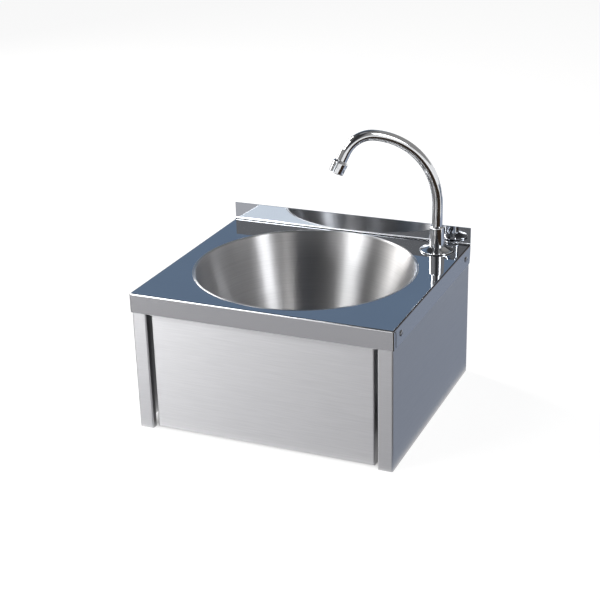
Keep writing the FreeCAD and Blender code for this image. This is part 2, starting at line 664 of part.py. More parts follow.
def panel_tray(inset):
    """Block that fills the lower panel, with rounded folds; inset by one sheet it is the hollow."""
    half = PANEL_HALF_WIDTH - inset
    front = PANEL_FACE + inset
    bottom = PANEL_BOTTOM + inset
    tray = block((-half, front, bottom), (half, PANEL_FACE + PANEL_TRAY + inset, PANEL_STEP_Z + inset))
    folds = [{"x": half, "y": front}, {"x": -half, "y": front}, {"y": front, "z": bottom}]
    return round_edges(tray, PANEL_FOLD - inset, folds)


def make_knee_panel():
    """Pressed panel: folded on three sides below, and widened above into two pivot ears."""
    lower = panel_tray(0.0).cut(panel_tray(PANEL_SHEET))
    ear_back = PIVOT_Y + EAR_RADIUS + OVERRUN
    corners = [(-EAR_HALF_WIDTH, ear_back), (-EAR_HALF_WIDTH, PANEL_FACE),
               (EAR_HALF_WIDTH, PANEL_FACE), (EAR_HALF_WIDTH, ear_back)]
    face = sheet_face(corners, PANEL_SHEET, PANEL_FOLD - PANEL_SHEET, lambda x, y: V(x, y, PANEL_STEP_Z))
    upper = face.extrude(Z_AXIS * (PANEL_TOP - PANEL_STEP_Z))
    front = PANEL_FACE - OVERRUN
    band = block((-SIDE_X, front, PANEL_STEP_Z), (SIDE_X, PANEL_FACE + EAR_FRONT_BAND, PANEL_TOP))
    arm_low = PIVOT_Z - EAR_RADIUS
    arm = block((-SIDE_X, PANEL_FACE, arm_low), (SIDE_X, PIVOT_Y, arm_low + 2 * EAR_RADIUS))
    eye = rod(EAR_RADIUS, V(-SIDE_X, PIVOT_Y, PIVOT_Z), X_AXIS, BASIN_WIDTH)
    upper = upper.common(band.fuse([arm, eye]))
    panel = lower.fuse(upper)
    bush_holes = rod(BUSH_RADIUS, V(-SIDE_X, PIVOT_Y, PIVOT_Z), X_AXIS, BASIN_WIDTH)
    return panel.cut(bush_holes).removeSplitter()


def pivot_screw():
    tip = PIVOT_NUT_X - PIVOT_NUT - SCREW_OVERRUN
    return headed_screw(V(SIDE_X, PIVOT_Y, PIVOT_Z), X_AXIS * -1, SIDE_X - tip)


def pivot_spacer():
    start = V(EAR_HALF_WIDTH + MOVING_GAP, PIVOT_Y, PIVOT_Z)
    length = CASING_INNER_X - start.x
    return ring(SPACER_RADIUS, PIVOT_SCREW_RADIUS + SCREW_HOLE_PLAY, start, X_AXIS, length)


def pivot_bush():
    inner = EAR_HALF_WIDTH - PANEL_SHEET
    barrel = rod(BUSH_RADIUS, V(inner, PIVOT_Y, PIVOT_Z), X_AXIS, PANEL_SHEET)
    flange = rod(BUSH_FLANGE_RADIUS, V(inner - BUSH_FLANGE, PIVOT_Y, PIVOT_Z), X_AXIS, BUSH_FLANGE)
    bore_start = V(inner - BUSH_FLANGE - OVERRUN, PIVOT_Y, PIVOT_Z)
    bore_length = BUSH_FLANGE + PANEL_SHEET + 2 * OVERRUN
    bore = rod(PIVOT_SCREW_RADIUS + PIVOT_RUNNING, bore_start, X_AXIS, bore_length)
    return barrel.fuse(flange).cut(bore)


def pivot_nut():
    start = V(PIVOT_NUT_X, PIVOT_Y, PIVOT_Z)
    return nut(PIVOT_NUT_FLATS, PIVOT_SCREW_RADIUS, start, X_AXIS * -1, PIVOT_NUT)


# ================================================================ push gear on the panel
def on_valve(y):
    return V(VALVE_X, y, VALVE_Z)


def make_push_bracket():
    """Hat-shaped bracket, welded inside the panel by its two feet."""
    crown = PUSH_BRACKET_CROWN / 2
    foot = crown + PUSH_BRACKET_FOOT
    far = PANEL_INNER + PUSH_BRACKET_REACH
    near = PANEL_INNER
    corners = [(VALVE_Z - foot, near), (VALVE_Z - crown, near), (VALVE_Z - crown, far - PUSH_BRACKET_SHEET),
               (VALVE_Z + crown, far - PUSH_BRACKET_SHEET), (VALVE_Z + crown, near), (VALVE_Z + foot, near)]
    left = VALVE_X - PUSH_BRACKET_WIDTH / 2
    face = sheet_face(corners, PUSH_BRACKET_SHEET, PUSH_BRACKET_FOLD - PUSH_BRACKET_SHEET,
                      lambda z, y: V(left, y, z))
    bracket = face.extrude(X_AXIS * PUSH_BRACKET_WIDTH)
    return bracket.cut(rod(ADJUSTER_RADIUS, on_valve(PANEL_INNER), Y_AXIS, 2 * PUSH_BRACKET_REACH))


def make_adjusting_screw():
    """Set screw through the bracket, with a domed hexagon head that meets the valve's button."""
    crown = PANEL_INNER + PUSH_BRACKET_REACH
    head_start = crown + ADJUSTER_NUT
    shank = rod(ADJUSTER_RADIUS, on_valve(crown - ADJUSTER_TAIL), Y_AXIS, ADJUSTER_TAIL + ADJUSTER_NUT)
    head = hexagon(ADJUSTER_FLATS, on_valve(head_start), Y_AXIS, ADJUSTER_HEAD - ADJUSTER_DOME)
    low = ADJUSTER_HEAD - ADJUSTER_DOME
    outline = [(0, low), (ADJUSTER_FLATS / 2 - ADJUSTER_DOME_STEP, low),
               (ADJUSTER_CREST_RADIUS, ADJUSTER_HEAD), (0, ADJUSTER_HEAD)]
    dome = turned(outline, on_valve(head_start), Y_AXIS)
    return shank.fuse([head, dome]).removeSplitter()


def make_adjusting_nut():
    crown = PANEL_INNER + PUSH_BRACKET_REACH
    return nut(ADJUSTER_FLATS, ADJUSTER_RADIUS, on_valve(crown), Y_AXIS, ADJUSTER_NUT)


# ================================================================ valve
def make_plunger_button():
    disc = rod(BUTTON_RADIUS, on_valve(BUTTON_FRONT), Y_AXIS, BUTTON)
    return round_edges(disc, BUTTON_ROUND, [{"y": BUTTON_FRONT}])


POPPET_FRONT = VALVE_SHOULDER + POPPET_FROM_SHOULDER


def make_valve_plunger():
    """Stem from the button through the bonnet to the poppet plate."""
    stem = rod(STEM_RADIUS, on_valve(BUTTON_BACK), Y_AXIS, POPPET_FRONT - BUTTON_BACK)
    plate = rod(POPPET_RADIUS, on_valve(POPPET_FRONT), Y_AXIS, POPPET)
    return stem.fuse(plate).removeSplitter()


def make_plunger_washer():
    return rod(POPPET_RADIUS, on_valve(POPPET_FRONT + POPPET), Y_AXIS, POPPET_WASHER)


def make_valve_bonnet():
    """Hexagon cap screwed into the valve's neck; the stem runs through it."""
    cap = hexagon(BONNET_FLATS, on_valve(BONNET_FRONT), Y_AXIS, BONNET_HEX)
    plug = rod(BONNET_PLUG_RADIUS, on_valve(NECK_FRONT), Y_AXIS, BONNET_PLUG)
    stem_bore = STEM_RADIUS + STEM_RUNNING
    bore_length = BONNET_HEX + BONNET_PLUG + 2 * OVERRUN
    bonnet = cap.fuse(plug).cut(rod(stem_bore, on_valve(BONNET_FRONT - OVERRUN), Y_AXIS, bore_length))
    groove = ring(stem_bore + 2 * STEM_SEAL_WIRE, STEM_RADIUS, seal_start(), Y_AXIS, 2 * STEM_SEAL_WIRE)
    return bonnet.cut(groove)


def seal_start():
    return on_valve(NECK_FRONT + BONNET_PLUG / 2 - STEM_SEAL_WIRE)


def make_stem_seal():
    """O-ring in the bonnet's groove."""
    middle = seal_start() + Y_AXIS * STEM_SEAL_WIRE
    return Part.makeTorus(STEM_RADIUS + STEM_RUNNING + STEM_SEAL_WIRE, STEM_SEAL_WIRE, middle, Y_AXIS)


def make_valve_body():
    """Turned body: neck for the bonnet, chamber for the poppet, side inlet and rear outlet."""
    neck = rod(NECK_RADIUS, on_valve(NECK_FRONT), Y_AXIS, NECK_LENGTH)
    barrel = rod(VALVE_BODY_RADIUS, on_valve(VALVE_SHOULDER), Y_AXIS, VALVE_BODY_LENGTH)
    barrel = round_edges(barrel, VALVE_BODY_ROUND, [{"y": VALVE_REAR}])
    inlet = rod(PORT_RADIUS, V(INLET_FACE, INLET_Y, VALVE_Z), X_AXIS, VALVE_X - INLET_FACE)
    outlet_root = VALVE_REAR - VALVE_BODY_ROUND
    outlet = rod(PORT_RADIUS, on_valve(outlet_root), Y_AXIS, OUTLET_FACE - outlet_root)
    body = barrel.fuse([neck, inlet, outlet])
    body = body.cut(rod(BONNET_PLUG_RADIUS, on_valve(NECK_FRONT), Y_AXIS, BONNET_PLUG))
    chamber_length = VALVE_REAR - VALVE_CHAMBER_END - NECK_FRONT
    body = body.cut(rod(VALVE_CHAMBER_RADIUS, on_valve(NECK_FRONT), Y_AXIS, chamber_length))
    body = body.cut(rod(PORT_BORE, V(INLET_FACE - OVERRUN, INLET_Y, VALVE_Z), X_AXIS, VALVE_X - INLET_FACE))
    body = body.cut(rod(PORT_BORE, on_valve(INLET_Y), Y_AXIS, OUTLET_FACE - INLET_Y + OVERRUN))
    return body.removeSplitter()


def make_valve_bracket():
    """Angle bracket, welded to the right-hand side panel, that carries the valve by its neck."""
    front = VALVE_SHOULDER - VALVE_BRACKET_SHEET
    low = VALVE_Z - VALVE_BRACKET_HALF_HEIGHT
    corners = [(VALVE_X - VALVE_BRACKET_OVERHANG, front), (CASING_INNER_X, front),
               (CASING_INNER_X, front + VALVE_BRACKET_FOOT)]
    face = sheet_face(corners, VALVE_BRACKET_SHEET, VALVE_BRACKET_FOLD - VALVE_BRACKET_SHEET,
                      lambda x, y: V(x, y, low))
    bracket = face.extrude(Z_AXIS * (2 * VALVE_BRACKET_HALF_HEIGHT))
    return bracket.cut(rod(NECK_RADIUS, on_valve(front - OVERRUN), Y_AXIS, VALVE_BRACKET_SHEET + 2 * OVERRUN))


def make_valve_locknut():
    start = on_valve(VALVE_SHOULDER - VALVE_BRACKET_SHEET - LOCKNUT)
    return nut(LOCKNUT_FLATS, NECK_RADIUS, start, Y_AXIS, LOCKNUT)


def helix_point(angle):
    """Point of the return spring's centre line, and its direction there."""
    rise = (SPRING_LENGTH - 2 * SPRING_WIRE) / (2 * math.pi * SPRING_TURNS)
    point = V(VALVE_X + SPRING_RADIUS * math.cos(angle), BUTTON_BACK + SPRING_WIRE + rise * angle,
              VALVE_Z + SPRING_RADIUS * math.sin(angle))
    direction = V(-SPRING_RADIUS * math.sin(angle), rise, SPRING_RADIUS * math.cos(angle))
    return point, direction.normalize()


def tangent_arc(start, direction, end):
    """Arc that leaves start along direction and ends at end."""
    chord = end - start
    along = V(chord).normalize()
    half_turn = direction.getAngle(along)
    bulge = (direction - along * direction.dot(along)).normalize()
    middle = (start + end) / 2 + bulge * (chord.Length / 2 * math.tan(half_turn / 2))
    return Part.Arc(start, middle, end).toShape()


def biarc(first, first_way, last, last_way):
    """Two arcs that join smoothly and keep both end directions."""
    span = last - first
    ways = first_way + last_way
    bend = 2 * (1 - first_way.dot(last_way))
    reach = (math.sqrt(span.dot(ways) ** 2 + bend * span.dot(span)) - span.dot(ways)) / bend
    joint = (first + first_way * reach + last - last_way * reach) / 2
    second = tangent_arc(last, last_way * -1, joint)
    back_way = second.tangentAt(second.LastParameter) * -1
    return [tangent_arc(first, first_way, joint), tangent_arc(joint, back_way, last)]


def make_valve_spring():
    """Return spring: one wire wound round the stem between the button and the bonnet."""
    quarter = math.pi / 2
    edges = []
    for index in range(4 * SPRING_TURNS):
        start, start_way = helix_point(index * quarter)
        end, end_way = helix_point((index + 1) * quarter)
        edges.extend(biarc(start, start_way, end, end_way))
    start, start_way = helix_point(0.0)
    section = Part.Wire([Part.Circle(start, start_way, SPRING_WIRE).toShape()])
    pitch = (SPRING_LENGTH - 2 * SPRING_WIRE) / SPRING_TURNS
    print("least gap between the return spring's turns:", round(pitch - 2 * SPRING_WIRE, 2))
    return Part.Wire(edges).makePipeShell([section], True, False)


# ================================================================ pre-mixer
def on_mixer(y, z=VALVE_Z):
    return V(MIXER_X, y, z)


def inlet_places():
    return {"hot_check_valve": on_mixer(INLET_Y - INLET_PITCH / 2, MIXER_BOSS_BOTTOM),
            "cold_check_valve": on_mixer(INLET_Y + INLET_PITCH / 2, MIXER_BOSS_BOTTOM)}


def make_mixer_body():
    """Cast body: two inlet bosses below, the temperature spindle between them, outlet to the valve."""
    front = INLET_Y - MIXER_HALF_LENGTH
    rear = INLET_Y + MIXER_HALF_LENGTH
    barrel = rod(MIXER_RADIUS, on_mixer(front), Y_AXIS, 2 * MIXER_HALF_LENGTH)
    barrel = round_edges(barrel, MIXER_END_ROUND, [{"y": front}, {"y": rear}])
    additions = []
    for y in (front + MIXER_END_ROUND + MIXER_RIB_WIDTH, rear - MIXER_END_ROUND - 2 * MIXER_RIB_WIDTH):
        additions.append(rod(MIXER_RADIUS + MIXER_RIB, on_mixer(y), Y_AXIS, MIXER_RIB_WIDTH))
    for place in inlet_places().values():
        additions.append(rod(INLET_BOSS_RADIUS, place, Z_AXIS, MIXER_RADIUS + INLET_BOSS))
    collar_bottom = VALVE_Z - MIXER_RADIUS - MIXER_COLLAR
    additions.append(rod(MIXER_COLLAR_RADIUS, on_mixer(INLET_Y, collar_bottom), Z_AXIS, MIXER_RADIUS))
    outlet_start = on_mixer(INLET_Y)
    additions.append(rod(UNION_BOSS_RADIUS, outlet_start, X_AXIS, MIXER_BOSS_FACE - MIXER_X))
    body = barrel.fuse(additions)
    for place in inlet_places().values():
        body = body.cut(rod(INLET_SPIGOT_RADIUS, place, Z_AXIS, INLET_SPIGOT))
        body = body.cut(rod(PORT_BORE, place, Z_AXIS, MIXER_RADIUS + INLET_BOSS))
    passage_start = on_mixer(INLET_Y - INLET_PITCH / 2)
    body = body.cut(rod(PORT_BORE, passage_start, Y_AXIS, INLET_PITCH))
    body = body.cut(rod(PORT_BORE, on_mixer(INLET_Y), X_AXIS, MIXER_BOSS_FACE - MIXER_X + OVERRUN))
    hole_start = on_mixer(INLET_Y, collar_bottom - OVERRUN)
    hole_length = OVERRUN + SPINDLE_DEPTH + MOVING_GAP
    return body.cut(rod(SPINDLE_RADIUS + SPINDLE_RUNNING, hole_start, Z_AXIS, hole_length)).removeSplitter()


def make_union_washer():
    return ring(UNION_BOSS_RADIUS, PORT_BORE, V(MIXER_BOSS_FACE, INLET_Y, VALVE_Z), X_AXIS, UNION_WASHER)


def make_union_nut():
    """Nut that draws the mixer's outlet against the valve's inlet."""
    start = MIXER_BOSS_FACE - UNION_NUT_GRIP
    length = UNION_NUT_GRIP + UNION_WASHER + UNION_NUT_GRIP
    body = hexagon(UNION_NUT_FLATS, V(start, INLET_Y, VALVE_Z), X_AXIS, length)
    body = body.cut(rod(UNION_BOSS_RADIUS, V(start - OVERRUN, INLET_Y, VALVE_Z), X_AXIS, length))
    return body.cut(rod(PORT_RADIUS, V(MIXER_BOSS_FACE, INLET_Y, VALVE_Z), X_AXIS, length))


def make_check_valve(place):
    """Non-return valve: spigot in the mixer, hexagon, and a threaded tail for the supply."""
    down = Z_AXIS * -1
    spigot = rod(INLET_SPIGOT_RADIUS, place, Z_AXIS, INLET_SPIGOT)
    grip = hexagon(CHECK_HEX_FLATS, place, down, CHECK_HEX)
    tail = rod(INLET_THREAD_RADIUS, place, down, CHECK_HEX + INLET_THREAD)
    bore = rod(INLET_BORE, place + Z_AXIS * INLET_SPIGOT, down, INLET_SPIGOT + CHECK_HEX + INLET_THREAD)
    return spigot.fuse([grip, tail]).removeSplitter().cut(bore)


KNOB_TOP = VALVE_Z - MIXER_RADIUS - MIXER_COLLAR - MOVING_GAP


def spindle_square():
    """Square end of the spindle, which is also the knob's socket."""
    half = SPINDLE_RADIUS / math.sqrt(2)
    low = V(MIXER_X - half, INLET_Y - half, KNOB_TOP - SPINDLE_DROP)
    return block(low, low + V(2 * half, 2 * half, SPINDLE_DROP))


def make_temperature_spindle():
    """Spindle that turns in the mixer and holds the knob in a square."""
    top = VALVE_Z - MIXER_RADIUS - MIXER_COLLAR + SPINDLE_DEPTH
    shaft = rod(SPINDLE_RADIUS, on_mixer(INLET_Y, KNOB_TOP), Z_AXIS, top - KNOB_TOP)
    return shaft.fuse(spindle_square())


def make_temperature_knob():
    """Hand knob with finger flutes and a raised pointer."""
    bottom = on_mixer(INLET_Y, KNOB_TOP - KNOB_HEIGHT)
    knob = rod(KNOB_RADIUS, bottom, Z_AXIS, KNOB_HEIGHT)
    knob = round_edges(knob, KNOB_GRIP_RADIUS, [{"z": bottom.z}])
    for place in polar(bottom, KNOB_RADIUS + KNOB_GRIP_RADIUS / 2, KNOB_GRIPS, 360.0 / KNOB_GRIPS / 2):
        knob = knob.cut(rod(KNOB_GRIP_RADIUS, place - Z_AXIS * OVERRUN, Z_AXIS, KNOB_HEIGHT + 2 * OVERRUN))
    root = bottom + V(KNOB_RADIUS - KNOB_GRIP_RADIUS, -POINTER_WIDTH / 2, KNOB_GRIP_RADIUS)
    tip = V(MIXER_X + KNOB_RADIUS + POINTER_LENGTH, INLET_Y + POINTER_WIDTH / 2, KNOB_TOP)
    return knob.fuse(block(root, tip)).cut(spindle_square())


# ================================================================ spout
def above_deck(height):
    return TAP + Z_AXIS * height


def make_spout_base():
    """Dished base with the neck for the collar above and the threaded shank below the deck."""
    def place(radius, height):
        return above_deck(height) + X_AXIS * radius

    rim_top = FLANGE_BOTTOM + BASE_RIM
    rim_start = rim_top - BASE_RIM_ROUND
    rim_end = BASE_RADIUS - BASE_RIM_ROUND
    part_way = BASE_RIM_ROUND * math.sqrt(0.5)
    round_middle = place(rim_end + part_way, rim_start + part_way)
    dish_middle = place((rim_end + BASE_CONE_RADIUS) / 2, (rim_top + BASE_HEIGHT) / 2 - BASE_DISH)
    rim = [place(SHANK_RADIUS, FLANGE_BOTTOM), place(BASE_RADIUS, FLANGE_BOTTOM),
           place(BASE_RADIUS, rim_start)]
    rest = [place(BASE_CONE_RADIUS, BASE_HEIGHT), place(BASE_NECK_RADIUS, BASE_HEIGHT),
            place(BASE_NECK_RADIUS, NECK_TOP), place(0, NECK_TOP), place(0, -SHANK_LENGTH),
            place(SHANK_RADIUS, -SHANK_LENGTH), rim[0]]
    edges = [Part.LineSegment(a, b).toShape() for a, b in zip(rim, rim[1:])]
    edges.append(Part.Arc(rim[-1], round_middle, place(rim_end, rim_top)).toShape())
    edges.append(Part.Arc(place(rim_end, rim_top), dish_middle, rest[0]).toShape())
    edges.extend(Part.LineSegment(a, b).toShape() for a, b in zip(rest, rest[1:]))
    base = Part.Face(Part.Wire(edges)).revolve(TAP, Z_AXIS, 360)
    base = base.cut(rod(SWIVEL_BORE, above_deck(SPIGOT_BOTTOM - MOVING_GAP), Z_AXIS, NECK_TOP))
    waterway = SHANK_LENGTH + NECK_TOP
    return base.cut(rod(SHANK_BORE, above_deck(-SHANK_LENGTH - OVERRUN), Z_AXIS, waterway))


def make_spout_collar():
    """Collar nut on the base's neck, with the retaining ring's room inside and the tube's bore on top."""
    chamfer = COLLAR_CHAMFER
    outline = [
        (BASE_NECK_RADIUS, BASE_HEIGHT),
        (COLLAR_BOTTOM_RADIUS, BASE_HEIGHT),
        (COLLAR_TOP_RADIUS, COLLAR_TOP - chamfer),
        (COLLAR_TOP_RADIUS - chamfer, COLLAR_TOP),
        (SWIVEL_BORE, COLLAR_TOP),
        (SWIVEL_BORE, RETAINER_TOP + MOVING_GAP),
        (RETAINER_RADIUS + MOVING_GAP, RETAINER_TOP + MOVING_GAP),
        (RETAINER_RADIUS + MOVING_GAP, NECK_TOP),
        (BASE_NECK_RADIUS, NECK_TOP),
    ]
    return turned(outline, TAP, Z_AXIS)


def make_base_seal():
    return ring(BASE_SEAL_RADIUS, SHANK_RADIUS, TAP, Z_AXIS, BASE_SEAL)


def make_deck_washer():
    start = V(SPOUT_X, SPOUT_Y, DECK_UNDERSIDE)
    return ring(DECK_WASHER_RADIUS, SHANK_RADIUS, start, Z_AXIS * -1, DECK_WASHER)


def make_backing_washer():
    start = V(SPOUT_X, SPOUT_Y, DECK_UNDERSIDE - DECK_WASHER)
    return ring(BACKING_WASHER_RADIUS, SHANK_RADIUS, start, Z_AXIS * -1, BACKING_WASHER)


def make_shank_nut():
    start = V(SPOUT_X, SPOUT_Y, DECK_UNDERSIDE - DECK_WASHER - BACKING_WASHER)
    return nut(SHANK_NUT_FLATS, SHANK_RADIUS, start, Z_AXIS * -1, SHANK_NUT)


def spout_path():
    """Centre line: up from the base, over in a wide arch, and down in a tighter one."""
    bearing = math.radians(SPOUT_BEARING)
    forward = V(math.cos(bearing), math.sin(bearing), 0)

    def place(along, height):
        return TAP + forward * along + Z_AXIS * height

    def arch(centre, radius, start, end):
        points = []
        for angle in (start, (start + end) / 2, end):
            points.append(place(centre[0] - radius * math.cos(angle), centre[1] + radius * math.sin(angle)))
        return Part.Arc(*points).toShape()

    rise = math.radians(ARCH_RISE_TURN)
    whole = rise + math.radians(ARCH_FALL_TURN)
    first = (ARCH_RISE_RADIUS, SPOUT_STRAIGHT)
    shift = ARCH_RISE_RADIUS - ARCH_FALL_RADIUS
    second = (first[0] - shift * math.cos(rise), first[1] + shift * math.sin(rise))
    way = forward * math.sin(whole) + Z_AXIS * math.cos(whole)
    last_bend = place(second[0] - ARCH_FALL_RADIUS * math.cos(whole),
                      second[1] + ARCH_FALL_RADIUS * math.sin(whole))
    mouth = last_bend + way * SPOUT_END_RUN
    tube_end = mouth - way * (AERATOR_LENGTH - AERATOR_SHOULDER - AERATOR_TUBE_GRIP)
    edges = [
        Part.LineSegment(place(0, TUBE_BOTTOM), place(0, SPOUT_STRAIGHT)).toShape(),
        arch(first, ARCH_RISE_RADIUS, 0.0, rise),
        arch(second, ARCH_FALL_RADIUS, rise, whole),
        Part.LineSegment(last_bend, tube_end).toShape(),
    ]
    return edges, mouth, way


def pipe(edges, start, direction, radius, bore):
    """Round pipe along a path of straight runs and tangent arcs."""
    path = Part.Wire(edges)
    outside = path.makePipeShell([Part.Wire([Part.Circle(start, direction, radius).toShape()])], True, False)
    inside = path.makePipeShell([Part.Wire([Part.Circle(start, direction, bore).toShape()])], True, False)
    return outside.cut(inside)


def make_spout_tube():
    """Swan-neck pipe with the retaining ring's groove near its foot."""
    edges = spout_path()[0]
    tube = pipe(edges, above_deck(TUBE_BOTTOM), Z_AXIS, TUBE_RADIUS, TUBE_BORE)
    groove_root = TUBE_RADIUS - RETAINER_GROOVE
    return tube.cut(ring(TUBE_RADIUS + OVERRUN, groove_root, above_deck(RETAINER_BOTTOM), Z_AXIS, RETAINER))


def make_spout_spigot():
    """Turned foot brazed into the tube, with two seal grooves."""
    lower = rod(TUBE_RADIUS, above_deck(SPIGOT_BOTTOM), Z_AXIS, TUBE_BOTTOM - SPIGOT_BOTTOM)
    upper = rod(TUBE_BORE, above_deck(TUBE_BOTTOM), Z_AXIS, SPIGOT_OVERLAP)
    spigot = lower.fuse(upper)
    groove_root = TUBE_RADIUS - SEAL_GROOVE
    for start in groove_starts():
        spigot = spigot.cut(ring(TUBE_RADIUS + OVERRUN, groove_root, start, Z_AXIS, SEAL_GROOVE_WIDTH))
    waterway = SPIGOT_OVERLAP + TUBE_BOTTOM
    return spigot.cut(rod(SPIGOT_BORE, above_deck(SPIGOT_BOTTOM - OVERRUN), Z_AXIS, waterway))


def groove_starts():
    return [above_deck(SPIGOT_BOTTOM + SEAL_GROOVE_START + index * SEAL_GROOVE_PITCH) for index in range(2)]


def make_spigot_seals():
    inner = TUBE_RADIUS - SEAL_GROOVE
    outer = SWIVEL_BORE - SEAL_PLAY
    wire = (outer - inner) / 2
    seals = []
    for start in groove_starts():
        seals.append(Part.makeTorus(inner + wire, wire, start + Z_AXIS * (SEAL_GROOVE_WIDTH / 2), Z_AXIS))
    return Part.makeCompound(seals)


def make_retaining_ring():
    """Split ring that snaps into the tube's groove and keeps it in the base."""
    inner = TUBE_RADIUS - RETAINER_GROOVE
    whole = ring(RETAINER_RADIUS, inner, above_deck(RETAINER_BOTTOM), Z_AXIS, RETAINER)
    slit = block((SPOUT_X, SPOUT_Y - RETAINER_SLIT / 2, DECK_HEIGHT),
                 (SPOUT_X + 2 * RETAINER_RADIUS, SPOUT_Y + RETAINER_SLIT / 2, DECK_HEIGHT + COLLAR_TOP))
    return whole.cut(slit)


def make_aerator_housing():
    """Screwed sleeve at the spout's mouth; distances run from its upper end to the mouth."""
    mouth, way = spout_path()[1:]
    start = mouth - way * AERATOR_LENGTH
    outline = [
        (TUBE_RADIUS, 0.0),
        (AERATOR_NECK_RADIUS, 0.0),
        (AERATOR_RADIUS, AERATOR_SHOULDER),
        (AERATOR_MOUTH_RADIUS, AERATOR_LENGTH - AERATOR_CHAMFER),
        (AERATOR_MOUTH_RADIUS - AERATOR_CHAMFER, AERATOR_LENGTH),
        (AERATOR_BORE, AERATOR_LENGTH),
        (AERATOR_BORE, AERATOR_SHOULDER + AERATOR_TUBE_GRIP),
        (TUBE_RADIUS, AERATOR_SHOULDER + AERATOR_TUBE_GRIP),
    ]
    return turned(outline, start, way)


def make_aerator_washer():
    mouth, way = spout_path()[1:]
    start = mouth - way * (AERATOR_LENGTH - AERATOR_SHOULDER - AERATOR_TUBE_GRIP)
    return ring(AERATOR_BORE, TUBE_BORE, start, way, AERATOR_WASHER)


def make_aerator_insert():
    """Perforated jet insert, held in the housing below the washer."""
    mouth, way = spout_path()[1:]
    depth = AERATOR_LENGTH - AERATOR_SHOULDER - AERATOR_TUBE_GRIP - AERATOR_WASHER
    start = mouth - way * depth
    insert = rod(AERATOR_BORE, start, way, depth - AERATOR_RECESS)
    across = way.cross(Z_AXIS).normalize()
    beside = way.cross(across)
    places = [V(0, 0, 0)]
    for index in range(1, AERATOR_RING_COUNT + 1):
        places.extend(polar(V(0, 0, 0), index * AERATOR_RING_PITCH, HOLES_IN_FIRST_RING * index))
    for place in places:
        centre = start - way * OVERRUN + across * place.x + beside * place.y
        insert = insert.cut(rod(AERATOR_HOLE_RADIUS, centre, way, depth + 2 * OVERRUN))
    return insert


# ================================================================ hose
def hose_route():
    """Back from the valve, across under the tap, and straight up to the shank."""
    corners = [VALVE_OUTLET,
               VALVE_OUTLET + Y_AXIS * (FERRULE_LENGTH + HOSE_LEAD),
               V(SPOUT_X, OUTLET_FACE + HOSE_SWEEP_BACK, VALVE_Z),
               V(SPOUT_X, SPOUT_Y, VALVE_Z),
               SHANK_END]
    radii = []
    for before, corner, after in zip(corners, corners[1:], corners[2:]):
        half_turn = (corner - before).getAngle(after - corner) / 2
        shorter = min((corner - before).Length, (after - corner).Length)
        radii.append(HOSE_BEND_SHARE * shorter / math.tan(half_turn))
    print("hose bend radii:", [round(radius, 1) for radius in radii])
    return rounded_run(corners, radii)


def make_outlet_hose():
    """Braided hose's tube along its whole route."""
    route = hose_route()
    hose = pipe(route, VALVE_OUTLET, Y_AXIS, HOSE_RADIUS, HOSE_BORE)
    length = Part.Wire(route).Length
    section = math.pi * (HOSE_RADIUS ** 2 - HOSE_BORE ** 2)
    print("hose length:", round(length, 1))
    print("hose volume over its section times its length:", round(hose.Volume / section / length, 4))
    return hose


def make_hose_ferrules():
    first = ring(FERRULE_RADIUS, HOSE_RADIUS, VALVE_OUTLET, Y_AXIS, FERRULE_LENGTH)
    second = ring(FERRULE_RADIUS, HOSE_RADIUS, SHANK_END, Z_AXIS * -1, FERRULE_LENGTH)
    return Part.makeCompound([first, second])


def hose_nut(face, grip, thread_radius):
    """Nut that grips a threaded end on one side of face and clears the ferrule on the other."""
    start = face - grip * HOSE_NUT_GRIP
    body = hexagon(HOSE_NUT_FLATS, start, grip, HOSE_NUT_GRIP + HOSE_NUT_SKIRT)
    body = body.cut(rod(thread_radius, start, grip, HOSE_NUT_GRIP))
    return body.cut(rod(FERRULE_RADIUS, face, grip, HOSE_NUT_SKIRT))


def make_hose_valve_nut():
    return hose_nut(VALVE_OUTLET, Y_AXIS, PORT_RADIUS)


def make_hose_spout_nut():
    return hose_nut(SHANK_END, Z_AXIS * -1, SHANK_RADIUS)


# ================================================================ waste
def on_bowl(z):
    return V(BOWL_X, BOWL_Y, z)


def make_waste_strainer():
    """Slightly crowned grid in the bowl's recess."""
    rim_start = STRAINER_RADIUS - STRAINER_RIM
    outline = [
        (0, STRAINER_CROWN),
        (STRAINER_CROWN_RADIUS, STRAINER_CROWN),
        (rim_start, 0),
        (STRAINER_RADIUS, 0),
        (STRAINER_RADIUS, STRAINER_SHEET),
        (rim_start, STRAINER_SHEET),
        (STRAINER_CROWN_RADIUS, STRAINER_SHEET + STRAINER_CROWN),
        (0, STRAINER_SHEET + STRAINER_CROWN),
    ]
    strainer = turned(outline, on_bowl(STRAINER_UNDERSIDE), Z_AXIS)
    holes = [rod(STRAINER_SCREW_RADIUS, on_bowl(0), Z_AXIS, DECK_HEIGHT)]
    for index in range(STRAINER_RING_COUNT):
        radius = STRAINER_RING_START + index * STRAINER_RING_PITCH
        for place in polar(on_bowl(0), radius, HOLES_IN_FIRST_RING * (index + 1)):
            holes.append(rod(STRAINER_HOLE_RADIUS, place, Z_AXIS, DECK_HEIGHT))
    return strainer.cut(Part.makeCompound(holes))


